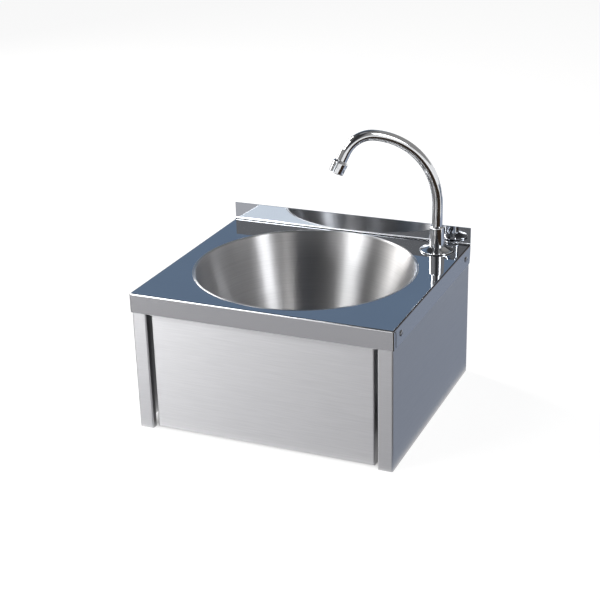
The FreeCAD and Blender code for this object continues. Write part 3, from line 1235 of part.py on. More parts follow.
def make_strainer_screw():
    """Centre screw that draws the strainer and the waste body together through the bowl."""
    head_bottom = STRAINER_UNDERSIDE + STRAINER_SHEET + STRAINER_CROWN
    tip = WASTE_BODY_TOP - WASTE_WEB_HEIGHT
    head = rod(STRAINER_HEAD_RADIUS, on_bowl(head_bottom), Z_AXIS, STRAINER_HEAD)
    head = round_edges(head, STRAINER_HEAD / 2, [{"z": head_bottom + STRAINER_HEAD}])
    slot_corner = on_bowl(head_bottom + STRAINER_HEAD / 2) - V(STRAINER_HEAD_RADIUS, STRAINER_SLOT / 2, 0)
    slot = block(slot_corner, slot_corner + V(2 * STRAINER_HEAD_RADIUS, STRAINER_SLOT, STRAINER_HEAD))
    shank = rod(STRAINER_SCREW_RADIUS, on_bowl(tip), Z_AXIS, head_bottom - tip)
    return head.cut(slot).fuse(shank).removeSplitter()


def make_strainer_gasket():
    return ring(STRAINER_RADIUS, WASTE_HOLE_RADIUS, on_bowl(RECESS_FLOOR_Z), Z_AXIS, STRAINER_GASKET)


def make_waste_gasket():
    return ring(WASTE_FLANGE_RADIUS, WASTE_HOLE_RADIUS, on_bowl(WASTE_BODY_TOP), Z_AXIS, WASTE_GASKET)


def make_waste_body():
    """Flanged funnel with a threaded tail, and a webbed boss for the centre screw."""
    wall = WASTE_TAIL_RADIUS - WASTE_TAIL_BORE
    flange_bottom = WASTE_BODY_TOP - WASTE_FLANGE
    funnel_bottom = flange_bottom - WASTE_FUNNEL
    outline = [
        (WASTE_HOLE_RADIUS, WASTE_BODY_TOP),
        (WASTE_FLANGE_RADIUS, WASTE_BODY_TOP),
        (WASTE_FLANGE_RADIUS, flange_bottom),
        (WASTE_HOLE_RADIUS + wall, flange_bottom),
        (WASTE_TAIL_RADIUS, funnel_bottom),
        (WASTE_TAIL_RADIUS, WASTE_TAIL_BOTTOM),
        (WASTE_TAIL_BORE, WASTE_TAIL_BOTTOM),
        (WASTE_TAIL_BORE, funnel_bottom),
        (WASTE_HOLE_RADIUS, flange_bottom),
    ]
    body = turned(outline, on_bowl(0), Z_AXIS)
    web_bottom = WASTE_BODY_TOP - WASTE_WEB_HEIGHT
    narrowing = (WASTE_HOLE_RADIUS - WASTE_TAIL_BORE) / WASTE_FUNNEL
    top_reach = WASTE_HOLE_RADIUS + wall / 2
    low_reach = top_reach - narrowing * (flange_bottom - web_bottom)
    outline = [(0, web_bottom), (low_reach, web_bottom), (top_reach, flange_bottom),
               (top_reach, WASTE_BODY_TOP), (0, WASTE_BODY_TOP)]
    points = [V(radius, -WASTE_WEB / 2, z) for radius, z in outline]
    web = Part.Face(Part.makePolygon(points + points[:1])).extrude(Y_AXIS * WASTE_WEB)
    webs = [rod(WASTE_BOSS_RADIUS, on_bowl(web_bottom), Z_AXIS, WASTE_WEB_HEIGHT)]
    for index in range(3):
        turned_web = web.copy()
        turned_web.rotate(V(0, 0, 0), Z_AXIS, 120.0 * index)
        turned_web.translate(V(BOWL_X, BOWL_Y, 0))
        webs.append(turned_web)
    body = body.fuse(webs)
    return body.cut(rod(STRAINER_SCREW_RADIUS, on_bowl(0), Z_AXIS, DECK_HEIGHT)).removeSplitter()


# ================================================================ the whole assembly
def main():
    os.makedirs("parts", exist_ok=True)
    right_side = make_right_side_panel()
    pieces = {
        "deck": make_deck(),
        "bowl": make_bowl(),
        "right_side_panel": right_side,
        "left_side_panel": right_side.mirror(V(0, 0, 0), X_AXIS),
        "rear_rail": make_rear_rail(),
        "deck_screws": both_sides(rear_screw),
        "deck_screw_nuts": both_sides(rear_nut),
        "knee_panel": make_knee_panel(),
        "pivot_screws": both_sides(pivot_screw),
        "pivot_spacers": both_sides(pivot_spacer),
        "pivot_bushes": both_sides(pivot_bush),
        "pivot_nuts": both_sides(pivot_nut),
        "push_bracket": make_push_bracket(),
        "adjusting_screw": make_adjusting_screw(),
        "adjusting_nut": make_adjusting_nut(),
        "plunger_button": make_plunger_button(),
        "valve_plunger": make_valve_plunger(),
        "plunger_washer": make_plunger_washer(),
        "valve_spring": make_valve_spring(),
        "valve_bonnet": make_valve_bonnet(),
        "stem_seal": make_stem_seal(),
        "valve_body": make_valve_body(),
        "valve_bracket": make_valve_bracket(),
        "valve_locknut": make_valve_locknut(),
        "mixer_body": make_mixer_body(),
        "union_washer": make_union_washer(),
        "union_nut": make_union_nut(),
        "temperature_spindle": make_temperature_spindle(),
        "temperature_knob": make_temperature_knob(),
        "spout_base": make_spout_base(),
        "spout_collar": make_spout_collar(),
        "base_seal": make_base_seal(),
        "deck_washer": make_deck_washer(),
        "backing_washer": make_backing_washer(),
        "shank_nut": make_shank_nut(),
        "spout_tube": make_spout_tube(),
        "spout_spigot": make_spout_spigot(),
        "spigot_seals": make_spigot_seals(),
        "retaining_ring": make_retaining_ring(),
        "aerator_housing": make_aerator_housing(),
        "aerator_washer": make_aerator_washer(),
        "aerator_insert": make_aerator_insert(),
        "outlet_hose": make_outlet_hose(),
        "hose_ferrules": make_hose_ferrules(),
        "hose_valve_nut": make_hose_valve_nut(),
        "hose_spout_nut": make_hose_spout_nut(),
        "waste_strainer": make_waste_strainer(),
        "strainer_screw": make_strainer_screw(),
        "strainer_gasket": make_strainer_gasket(),
        "waste_gasket": make_waste_gasket(),
        "waste_body": make_waste_body(),
    }
    for name, place in inlet_places().items():
        pieces[name] = make_check_valve(place)
    for name, shape in pieces.items():
        solids = shape.Solids
        if not shape.isValid() or not solids:
            print("CHECK", name, "valid", shape.isValid(), "solids", len(solids))
        export(name, shape)
    print(len(pieces), "pieces written")


main()
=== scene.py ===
import bmesh
import bpy
import math
from mathutils import Matrix, Vector


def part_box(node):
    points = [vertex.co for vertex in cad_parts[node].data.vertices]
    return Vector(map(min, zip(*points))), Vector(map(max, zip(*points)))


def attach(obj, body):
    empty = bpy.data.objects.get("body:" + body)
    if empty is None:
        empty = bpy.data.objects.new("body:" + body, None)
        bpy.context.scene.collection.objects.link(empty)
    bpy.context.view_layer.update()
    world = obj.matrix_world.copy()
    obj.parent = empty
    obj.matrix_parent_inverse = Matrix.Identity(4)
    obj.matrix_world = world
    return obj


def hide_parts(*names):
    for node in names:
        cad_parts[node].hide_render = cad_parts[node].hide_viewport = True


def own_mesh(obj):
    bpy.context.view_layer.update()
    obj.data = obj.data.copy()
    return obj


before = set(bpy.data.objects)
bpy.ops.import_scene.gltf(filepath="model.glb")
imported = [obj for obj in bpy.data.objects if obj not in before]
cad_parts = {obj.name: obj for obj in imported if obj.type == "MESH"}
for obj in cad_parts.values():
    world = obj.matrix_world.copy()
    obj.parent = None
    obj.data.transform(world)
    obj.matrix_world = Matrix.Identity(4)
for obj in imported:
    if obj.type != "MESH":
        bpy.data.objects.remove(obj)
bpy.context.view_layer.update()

MM = 0.001                      # the outlines of the pieces are in millimetres

# ---------------------------------------------------------------- camera
CAMERA_PLACE = Vector((0.73605, -1.70422, 0.91909))
CAMERA_RIGHT = Vector((0.91941986, 0.39253954, -0.02407976))
CAMERA_DOWN = Vector((0.12783883, -0.35620937, -0.92561986))
CAMERA_FORWARD = Vector((-0.37191983, 0.84795495, -0.37768776))
CAMERA_LENS = 80.3054
CAMERA_BEARING = -66.6          # degrees from +X, seen from the basin

# ---------------------------------------------------------------- places on the object, in metres
UP = Vector((0.0, 0.0, 1.0))
ALONG = Vector((0.0, 1.0, 0.0))
HALF_WIDTH = 0.200
HALF_DEPTH = 0.1775
DECK_TOP = 0.2125
BOWL_AXIS = Vector((-0.003, 0.004, 0.0))
TAP = Vector((0.158, 0.1388, DECK_TOP))
SPOUT_BEARING = math.radians(217.0)
SPOUT_WAY = Vector((math.cos(SPOUT_BEARING), math.sin(SPOUT_BEARING), 0.0))
VALVE_AXIS = Vector((0.130, 0.0, 0.044))
LAMP_AIM = Vector((0.0, 0.0, 0.15))
UPSTAND_BOW = 0.025             # tilt of the upstand's shading, as a slope


def make_camera():
    camera = bpy.data.cameras.new("camera")
    camera.lens = CAMERA_LENS
    camera.sensor_width = 36.0
    camera.clip_start = 0.05
    camera.clip_end = 60.0
    rig = bpy.data.objects.new("camera", camera)
    turn = Matrix((CAMERA_RIGHT, -CAMERA_DOWN, -CAMERA_FORWARD)).transposed()
    rig.matrix_world = Matrix.Translation(CAMERA_PLACE) @ turn.to_4x4()
    bpy.context.scene.collection.objects.link(rig)
    bpy.context.scene.camera = rig


# ---------------------------------------------------------------- node helpers
class Tree:
    """Nodes of a material or a world, made anew."""

    def __init__(self, owner):
        owner.use_nodes = True
        self.nodes = owner.node_tree.nodes
        self.links = owner.node_tree.links
        self.nodes.clear()

    def link(self, source, target):
        self.links.new(source, target)

    def fill(self, socket, value):
        """Give a socket a number, a colour or another node's output."""
        if isinstance(value, (int, float)):
            socket.default_value = value
        elif isinstance(value, tuple):
            socket.default_value = value + (1.0,)
        else:
            self.link(value, socket)

    def place(self, kind="Object"):
        return self.nodes.new("ShaderNodeTexCoord").outputs[kind]

    def split(self, vector):
        node = self.nodes.new("ShaderNodeSeparateXYZ")
        self.link(vector, node.inputs[0])
        return node.outputs[0], node.outputs[1], node.outputs[2]

    def joined(self, x, y, z):
        node = self.nodes.new("ShaderNodeCombineXYZ")
        for socket, value in zip(node.inputs, (x, y, z)):
            self.fill(socket, value)
        return node.outputs[0]

    def math(self, operation, first, second=0.0):
        node = self.nodes.new("ShaderNodeMath")
        node.operation = operation
        for socket, value in zip(node.inputs, (first, second)):
            self.fill(socket, value)
        return node.outputs[0]

    def spread(self, source, low, high, start=0.0, end=1.0, smooth=False):
        """Low to high as the source goes from start to end."""
        node = self.nodes.new("ShaderNodeMapRange")
        if smooth:
            node.interpolation_type = "SMOOTHSTEP"
        node.inputs["From Min"].default_value = start
        node.inputs["From Max"].default_value = end
        node.inputs["To Min"].default_value = low
        node.inputs["To Max"].default_value = high
        self.link(source, node.inputs["Value"])
        return node.outputs[0]

    def mixed(self, factor, first, second):
        """Number that goes from the first to the second as the factor rises."""
        gap = self.math("SUBTRACT", second, first)
        return self.math("ADD", first, self.math("MULTIPLY", factor, gap))

    def blend(self, factor, first, second):
        """Colour that goes from the first to the second as the factor rises."""
        node = self.nodes.new("ShaderNodeMix")
        node.data_type = "RGBA"
        self.fill(node.inputs[6], first)
        self.fill(node.inputs[7], second)
        self.link(factor, node.inputs[0])
        return node.outputs[2]


class Finish(Tree):
    """One material: a Principled shader and the nodes that vary it over the surface."""

    def __init__(self, name):
        self.material = bpy.data.materials.new(name)
        super().__init__(self.material)
        output = self.nodes.new("ShaderNodeOutputMaterial")
        self.shader = self.nodes.new("ShaderNodeBsdfPrincipled")
        self.link(self.shader.outputs[0], output.inputs[0])
        self.bump_end = self.shader.inputs["Normal"]

    def set(self, **values):
        for name, value in values.items():
            self.shader.inputs[name.replace("_", " ")].default_value = value
        return self

    def scaled(self, source, scale, shift=(0.0, 0.0, 0.0)):
        mapping = self.nodes.new("ShaderNodeMapping")
        mapping.inputs["Scale"].default_value = scale
        mapping.inputs["Location"].default_value = shift
        self.link(source, mapping.inputs["Vector"])
        return mapping.outputs[0]

    def noise(self, vector, detail=2.0, roughness=0.5):
        node = self.nodes.new("ShaderNodeTexNoise")
        node.inputs["Scale"].default_value = 1.0
        node.inputs["Detail"].default_value = detail
        node.inputs["Roughness"].default_value = roughness
        self.link(vector, node.inputs["Vector"])
        return node.outputs["Fac"]

    def colour(self, source):
        self.link(source, self.shader.inputs["Base Color"])

    def roughness(self, source):
        self.link(source, self.shader.inputs["Roughness"])

    def bump(self, height, distance, strength=1.0):
        """Relief on the surface; each further call adds to it."""
        node = self.nodes.new("ShaderNodeBump")
        node.inputs["Strength"].default_value = strength
        node.inputs["Distance"].default_value = distance
        self.link(height, node.inputs["Height"])
        self.link(node.outputs[0], self.bump_end)
        self.bump_end = node.inputs["Normal"]
        return self

    def level_grain(self, share):
        """Grain that runs level round the object: highlights stretch up and down across it."""
        tangent = self.nodes.new("ShaderNodeTangent")
        tangent.direction_type = "RADIAL"
        tangent.axis = "Z"
        self.link(tangent.outputs[0], self.shader.inputs["Tangent"])
        self.set(Anisotropic=share, Anisotropic_Rotation=0.25)

    def bowl_rings(self):
        """Coordinates that follow the bowl: radius, angle and height."""
        x, y, z = self.split(self.scaled(self.place(), (1.0, 1.0, 1.0), tuple(-BOWL_AXIS)))
        squares = self.math("ADD", self.math("MULTIPLY", x, x), self.math("MULTIPLY", y, y))
        return self.math("SQRT", squares), self.math("ARCTAN2", y, x), z


# ---------------------------------------------------------------- finishes
def polished_steel():
    """Deck sheet: mirror bright on top and up the wall, level satin grain on its folded aprons."""
    finish = Finish("polished_steel").set(Metallic=1.0)
    place = finish.place()
    lines = finish.noise(finish.scaled(place, (6.0, 500.0, 500.0)), 3.0)
    smears = finish.noise(finish.scaled(place, (9.0, 9.0, 9.0)), 4.0, 0.6)
    grain = finish.noise(finish.scaled(place, (5.0, 5.0, 2600.0)), 4.0, 0.7)
    across, _, upward = finish.split(finish.place("Normal"))
    height = finish.split(place)[2]

    upright = finish.spread(finish.math("ABSOLUTE", upward), 1.0, 0.0, 0.15, 0.6)
    below = finish.spread(height, 1.0, 0.0, DECK_TOP - 0.001, DECK_TOP)
    apron = finish.math("MULTIPLY", upright, below)
    bright = finish.math("ADD", finish.spread(smears, 0.01, 0.04), finish.spread(lines, 0.0, 0.02))
    satin = finish.spread(grain, 0.15, 0.21)
    finish.roughness(finish.mixed(apron, bright, satin))

    top_colour = finish.blend(smears, (0.56, 0.58, 0.62), (0.64, 0.66, 0.69))
    # Painted shade: the folded aprons get a darker colour than the top of the same sheet; their satin
    # grain is real.
    shaded_apron_colour = finish.blend(grain, (0.42, 0.42, 0.43), (0.54, 0.54, 0.55))
    sheet_colour = finish.blend(apron, top_colour, shaded_apron_colour)
    # Painted reflection: a dark colour on the rounded folds along the deck's left and right edges stands
    # in for the dark room they mirror.
    sideways = finish.spread(finish.math("ABSOLUTE", across), 0.0, 1.0, 0.15, 0.3)
    painted_dark_fold = finish.math("MULTIPLY", sideways, finish.spread(upward, 0.0, 1.0, 0.15, 0.3))
    finish.colour(finish.blend(painted_dark_fold, sheet_colour, (0.10, 0.09, 0.09)))
    finish.level_grain(0.8)

    fold = DECK_TOP + 0.003
    rise = finish.math("MAXIMUM", finish.math("SUBTRACT", height, fold), 0.0)
    finish.bump(finish.math("MULTIPLY", rise, -UPSTAND_BOW), 1.0)
    return finish.bump(lines, 0.00001, 0.15).material


def bowl_steel():
    """Bowl: brushed round on a lathe, in fine rings of uneven depth."""
    finish = Finish("bowl_steel").set(Metallic=1.0)
    radius, angle, height = finish.bowl_rings()
    slow_angle = finish.math("MULTIPLY", angle, 0.6)
    slant = finish.math("ADD", radius, finish.math("MULTIPLY", height, -1.0))
    down = finish.math("MULTIPLY", slant, 900.0)
    slow_down = finish.math("MULTIPLY", down, 0.12)
    rings = finish.noise(finish.joined(down, slow_angle, 0.0), 3.0, 0.7)
    broad = finish.noise(finish.joined(slow_down, slow_angle, 3.0))
    finish.colour(finish.blend(rings, (0.50, 0.50, 0.51), (0.72, 0.72, 0.73)))
    fine = finish.spread(rings, 0.30, 0.42)
    finish.roughness(finish.math("ADD", fine, finish.spread(broad, -0.03, 0.04)))
    finish.level_grain(1.0)
    return finish.bump(rings, 0.00003, 0.5).material


def sheet_steel(name, dark, light, rough, share):
    """Casing and panel sheet: level satin grain, with a few longer scratches in it."""
    finish = Finish(name).set(Metallic=1.0)
    place = finish.place()
    grain = finish.noise(finish.scaled(place, (5.0, 5.0, 2600.0)), 4.0, 0.7)
    strokes = finish.noise(finish.scaled(place, (22.0, 22.0, 700.0), (3.0, 1.0, 0.0)))
    cloud = finish.noise(finish.scaled(place, (7.0, 7.0, 7.0)), 3.0)
    shade = finish.math("MULTIPLY", finish.math("ADD", grain, strokes), 0.5)
    finish.colour(finish.blend(shade, dark, light))
    fine = finish.spread(grain, rough - 0.05, rough + 0.06)
    finish.roughness(finish.math("ADD", fine, finish.spread(cloud, -0.03, 0.03)))
    finish.level_grain(share)
    return finish.bump(grain, 0.00002, 0.4).material


def plain_metal(name, dark, light, rough, uneven=0.05):
    """Turned or plated metal with a little uneven polish."""
    finish = Finish(name).set(Metallic=1.0)
    place = finish.place()
    wear = finish.noise(finish.scaled(place, (90.0, 90.0, 90.0)), 4.0, 0.6)
    turning = finish.noise(finish.scaled(place, (30.0, 30.0, 1500.0)))
    finish.colour(finish.blend(wear, dark, light))
    finish.roughness(finish.spread(wear, rough, rough + uneven))
    return finish.bump(turning, 0.00001, 0.25).material


def moulded(name, dark, light, rough, grit):
    """Moulded plastic or rubber with a fine grit."""
    finish = Finish(name)
    place = finish.place()
    cloud = finish.noise(finish.scaled(place, (60.0, 60.0, 60.0)), 3.0)
    grains = finish.noise(finish.scaled(place, (2400.0, 2400.0, 2400.0)))
    finish.colour(finish.blend(cloud, dark, light))
    finish.roughness(finish.spread(grains, rough - 0.06, rough + 0.06))
    return finish.bump(grains, grit, 0.5).material


def braided_hose():
    """Steel wire of the hose's braid, dull in places."""
    finish = Finish("braided_hose").set(Metallic=1.0)
    strands = finish.noise(finish.scaled(finish.place(), (1500.0, 1500.0, 1500.0)))
    finish.colour(finish.blend(strands, (0.30, 0.30, 0.31), (0.68, 0.68, 0.69)))
    finish.roughness(finish.spread(strands, 0.25, 0.45))
    return finish.bump(strands, 0.0002, 0.8).material


def make_finishes():
    """The finish of each material slot, by the slot's name."""
    return {
        "polished_steel": polished_steel(),
        "bowl_steel": bowl_steel(),
        "casing_steel": sheet_steel("casing_steel", (0.41, 0.41, 0.42), (0.56, 0.56, 0.57), 0.34, 0.9),
        "panel_steel": sheet_steel("panel_steel", (0.44, 0.44, 0.45), (0.65, 0.65, 0.66), 0.42, 0.85),
        "fastener_steel": plain_metal("fastener_steel", (0.42, 0.42, 0.43), (0.58, 0.58, 0.59), 0.22),
        "spring_steel": plain_metal("spring_steel", (0.34, 0.34, 0.36), (0.52, 0.52, 0.54), 0.26),
        "chrome": plain_metal("chrome", (0.74, 0.75, 0.77), (0.82, 0.83, 0.85), 0.04, 0.03),
        "brass": plain_metal("brass", (0.60, 0.44, 0.20), (0.78, 0.60, 0.30), 0.28, 0.12),
        "black_plastic": moulded("black_plastic", (0.018, 0.018, 0.019), (0.032, 0.032, 0.034),
                                 0.45, 0.00003),
        "white_plastic": moulded("white_plastic", (0.70, 0.70, 0.68), (0.80, 0.80, 0.78),
                                 0.40, 0.00002),
        "rubber": moulded("rubber", (0.022, 0.022, 0.022), (0.045, 0.045, 0.045), 0.65, 0.00004),
        "braided_hose": braided_hose(),
    }


# ---------------------------------------------------------------- floor, world and lamps
def studio_mesh(name, corners, faces, material):
    """Thing of the studio that isn't part of the object."""
    mesh = bpy.data.meshes.new(name)
    mesh.from_pydata(corners, [], faces)
    mesh.materials.append(material)
    thing = bpy.data.objects.new(name, mesh)
    bpy.context.scene.collection.objects.link(thing)
    return thing


def outside_of_footprint(tree):
    """Painted shadow on the floor: near 0 in the dark under the basin, 1 clear of it."""
    x, y, _ = tree.split(tree.place())
    shares = [tree.spread(tree.math("ABSOLUTE", position), 0.08, 1.0, half - 0.030, half - 0.002)
              for position, half in ((x, HALF_WIDTH), (y, HALF_DEPTH))]
    return tree.math("MAXIMUM", *shares)


def floor_white():
    """White to the camera and in the metal, and still darker in the shadow."""
    material = bpy.data.materials.new("floor")
    tree = Tree(material)
    output = tree.nodes.new("ShaderNodeOutputMaterial")
    diffuse = tree.nodes.new("ShaderNodeBsdfDiffuse")
    diffuse.inputs["Color"].default_value = (0.25, 0.25, 0.25, 1.0)
    glow = tree.nodes.new("ShaderNodeEmission")
    glow.inputs["Color"].default_value = (0.88, 0.88, 0.88, 1.0)
    path = tree.nodes.new("ShaderNodeLightPath")
    seen = tree.math("MAXIMUM", path.outputs["Is Camera Ray"], path.outputs["Is Glossy Ray"])
    seen = tree.math("MAXIMUM", seen, path.outputs["Is Transmission Ray"])
    # painted shadow: the floor's glow is cut down under the basin's footprint
    shaded = tree.math("MULTIPLY", seen, outside_of_footprint(tree))
    tree.link(shaded, glow.inputs["Strength"])
    both = tree.nodes.new("ShaderNodeAddShader")
    tree.link(diffuse.outputs[0], both.inputs[0])
    tree.link(glow.outputs[0], both.inputs[1])
    tree.link(both.outputs[0], output.inputs["Surface"])
    return material


def make_floor():
    """Plain floor, and the round wall far off at its edge."""
    half, wall_tall = 30.0, 4.1
    white = floor_white()
    corners = [(-half, -half, 0.0), (half, -half, 0.0), (half, half, 0.0), (-half, half, 0.0)]
    floor = studio_mesh("floor", corners, [(0, 1, 2, 3)], white)
    make_backdrop(white, half - 1.0, wall_tall)


def make_backdrop(material, reach, tall):
    """Low round wall far off, of the floor's white, so that low views show no edge."""
    steps = 96
    corners = []
    for index in range(steps):
        angle = 2 * math.pi * index / steps
        for height in (0.0, tall):
            corners.append((math.cos(angle) * reach, math.sin(angle) * reach, height))
    faces = [(2 * index, (2 * index + 2) % (2 * steps), (2 * index + 3) % (2 * steps), 2 * index + 1)
             for index in range(steps)]
    wall = studio_mesh("backdrop", corners, faces, material)


def make_world():
    """Grey room: dark before the basin, pale at its sides, blue-grey low behind it, and above
    that a darker band and a pale patch straight over it."""
    world = bpy.data.worlds.new("room")
    bpy.context.scene.world = world
    tree = Tree(world)
    place = tree.place("Generated")

    def facing(direction, start, end):
        """0 to 1 as the direction's share goes from start to end."""
        towards = tree.nodes.new("ShaderNodeVectorMath")
        towards.operation = "DOT_PRODUCT"
        towards.inputs[1].default_value = direction
        tree.link(place, towards.inputs[0])
        return tree.spread(towards.outputs["Value"], 0.0, 1.0, start, end, smooth=True)

    right = facing((0.92, 0.3925, 0.0), 0.08, 0.42)
    left = facing((-0.92, -0.3925, 0.0), 0.25, 0.70)
    room = tree.blend(tree.math("ADD", right, left), (0.040, 0.040, 0.042), (0.29, 0.285, 0.28))
    low_behind = facing((-0.37, 0.85, 0.37), 0.90, 0.97)
    room = tree.blend(low_behind, room, (0.17, 0.235, 0.33))
    above = facing((0.0, 0.0, 1.0), 0.84, 0.88)
    beside_top = facing((0.0, 0.0, -1.0), -0.97, -0.94)
    behind = facing((-0.397, 0.918, 0.0), -0.10, 0.10)
    band = tree.math("MULTIPLY", tree.math("MULTIPLY", above, beside_top), behind)
    room = tree.blend(band, room, (0.10, 0.105, 0.11))
    top = facing((0.0, 0.0, 1.0), 0.97, 0.99)
    room = tree.blend(top, room, (0.30, 0.31, 0.33))

    output = tree.nodes.new("ShaderNodeOutputWorld")
    background = tree.nodes.new("ShaderNodeBackground")
    tree.link(room, background.inputs["Color"])
    background.inputs["Strength"].default_value = 1.0
    tree.link(background.outputs[0], output.inputs["Surface"])


def make_lamp(name, bearing, distance, height, width, tall, brightness, colour):
    """Soft box at a bearing in degrees round the object, facing the bowl."""
    lamp = bpy.data.lights.new(name, "AREA")
    lamp.shape = "RECTANGLE"
    lamp.size = width
    lamp.size_y = tall
    lamp.energy = brightness * math.pi * width * tall
    lamp.color = colour
    rig = bpy.data.objects.new(name, lamp)
    angle = math.radians(bearing)
    rig.location = Vector((math.cos(angle) * distance, math.sin(angle) * distance, height))
    aim = LAMP_AIM - rig.location
    rig.rotation_euler = aim.to_track_quat("-Z", "Y").to_euler()
    bpy.context.scene.collection.objects.link(rig)


def make_lamps():
    """Large soft boxes; each has the brightness of a white wall a few times over."""
    make_lamp("left_box", CAMERA_BEARING - 64.0, 2.2, 2.14, 0.94, 1.2, 7.5, (1.0, 1.0, 0.99))
    make_lamp("left_mid_box", CAMERA_BEARING - 55.0, 2.2, 0.81, 0.60, 0.29, 1.25, (0.88, 0.95, 1.0))
    make_lamp("left_low_box", CAMERA_BEARING - 64.0, 2.1, 0.33, 0.95, 0.6, 5.0, (1.0, 1.0, 1.0))
    make_lamp("front_wall", CAMERA_BEARING - 47.0, 2.3, 0.33, 1.80, 0.6, 2.0, (1.0, 0.99, 1.0))
    make_lamp("right_box", CAMERA_BEARING + 49.0, 2.2, 1.50, 0.62, 1.5, 5.8, (0.98, 0.99, 1.0))
    make_lamp("rear_box", CAMERA_BEARING - 121.0, 2.2, 1.40, 0.31, 1.6, 6.4, (1.0, 0.98, 0.95))
    make_lamp("rear_far_box", CAMERA_BEARING - 140.0, 2.2, 1.40, 0.44, 1.6, 16.0, (1.0, 0.97, 0.93))


def make_card(name, corners, faces, level):
    """Glowing card of one brightness low beside the basin, that its metal mirrors and nothing else sees.
    """
    material = bpy.data.materials.new(name)
    tree = Tree(material)
    output = tree.nodes.new("ShaderNodeOutputMaterial")
    glow = tree.nodes.new("ShaderNodeEmission")
    tree.fill(glow.inputs["Color"], level)
    tree.link(glow.outputs[0], output.inputs["Surface"])
    card = studio_mesh(name, corners, faces, material)
    card.visible_camera = False
    card.visible_diffuse = False
    card.visible_shadow = False


def make_flat_card(name, left, right, near, far, level, height=0.001):
    """Card that is a rectangle on the floor."""
    corners = [(left, near, height), (right, near, height), (right, far, height), (left, far, height)]
    make_card(name, corners, [(0, 1, 2, 3)], level)


def make_cards():
    """A dark fan spread from the tap, and flat cards round the basin."""
    near, far, height, steps = 0.28, 1.3, 0.002, 12
    first, last = CAMERA_BEARING - 10.0, CAMERA_BEARING + 60.0
    corners = []
    for index in range(steps + 1):
        angle = math.radians(first + (last - first) * index / steps)
        for reach in (near, far):
            corners.append((TAP.x + math.cos(angle) * reach, TAP.y + math.sin(angle) * reach, height))
    faces = [(2 * index, 2 * index + 1, 2 * index + 3, 2 * index + 2) for index in range(steps)]
    make_card("dark_card", corners, faces, (0.040, 0.028, 0.020))
    make_flat_card("side_card", 0.2025, 0.95, -0.25, 1.2, (0.36, 0.41, 0.51))
    make_flat_card("left_card", -2.6, -0.22, -0.10, 0.185, (0.13, 0.15, 0.18))
    make_flat_card("far_left_card", -2.6, -0.45, -0.45, -0.10, (0.16, 0.17, 0.19), 0.002)
    make_flat_card("rear_card", -2.6, 0.2, 0.185, 4.0, (0.13, 0.15, 0.18))
    make_flat_card("rear_right_card", 0.96, 2.6, 0.3, 4.0, (0.20, 0.23, 0.28))
    make_flat_card("front_card", -1.1, 0.2025, -1.4, -0.179, (0.58, 0.58, 0.60))


# ---------------------------------------------------------------- mesh helpers
def make_piece(name, shape, finish, body, nodes=(), sharp=35.0):
    """Put a piece in the scene: smooth but for its sharp edges, in one finish, on its body."""
    mesh = shape.mesh(name)
    mesh.validate()
    mesh.shade_smooth()
    mesh.set_sharp_from_angle(angle=math.radians(sharp))
    mesh.materials.append(FINISHES[finish])
    piece = bpy.data.objects.new(name, mesh)
    bpy.context.scene.collection.objects.link(piece)
    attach(piece, body)
    if nodes:
        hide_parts(*nodes)
    return piece


def slot_of(node):
    """Name of a CAD node's first material slot."""
    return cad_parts[node].material_slots[0].material.name.split(".")[0]


def frame_along(way):
    """Two directions square to the way and to each other."""
    way = way.normalized()
    helper = Vector((0.0, 0.0, 1.0)) if abs(way.z) < 0.9 else Vector((1.0, 0.0, 0.0))
    side = way.cross(helper).normalized()
    return side, way.cross(side).normalized()


def ring(origin, way, along, reaches):
    """Points evenly round the way, each at its own reach, at a distance along it."""
    side, other = frame_along(way)
    points = []
    for index, reach in enumerate(reaches):
        angle = 2 * math.pi * index / len(reaches)
        out = side * math.cos(angle) + other * math.sin(angle)
        points.append(origin + (out * reach + way * along) * MM)
    return points


def ways_along(line):
    """Direction of a line at each of its points."""
    last = len(line) - 1
    return [(line[min(index + 1, last)] - line[max(index - 1, 0)]).normalized()
            for index in range(len(line))]


def carried_frames(line):
    """Two directions square to the line at each of its points, that turn as little as they can."""
    frames = []
    side = None
    for way in ways_along(line):
        if side is None:
            side = frame_along(way)[0]
        side = (side - way * side.dot(way)).normalized()
        frames.append((side.copy(), way.cross(side)))
    return frames


def tube_rows(line, frames, radius, segments):
    """Rings of a round tube along a line, all in metres."""
    rows = []
    for point, (side, other) in zip(line, frames):
        row = []
        for index in range(segments):
            angle = 2 * math.pi * index / segments
            row.append(point + (side * math.cos(angle) + other * math.sin(angle)) * radius)
        rows.append(row)
    return rows


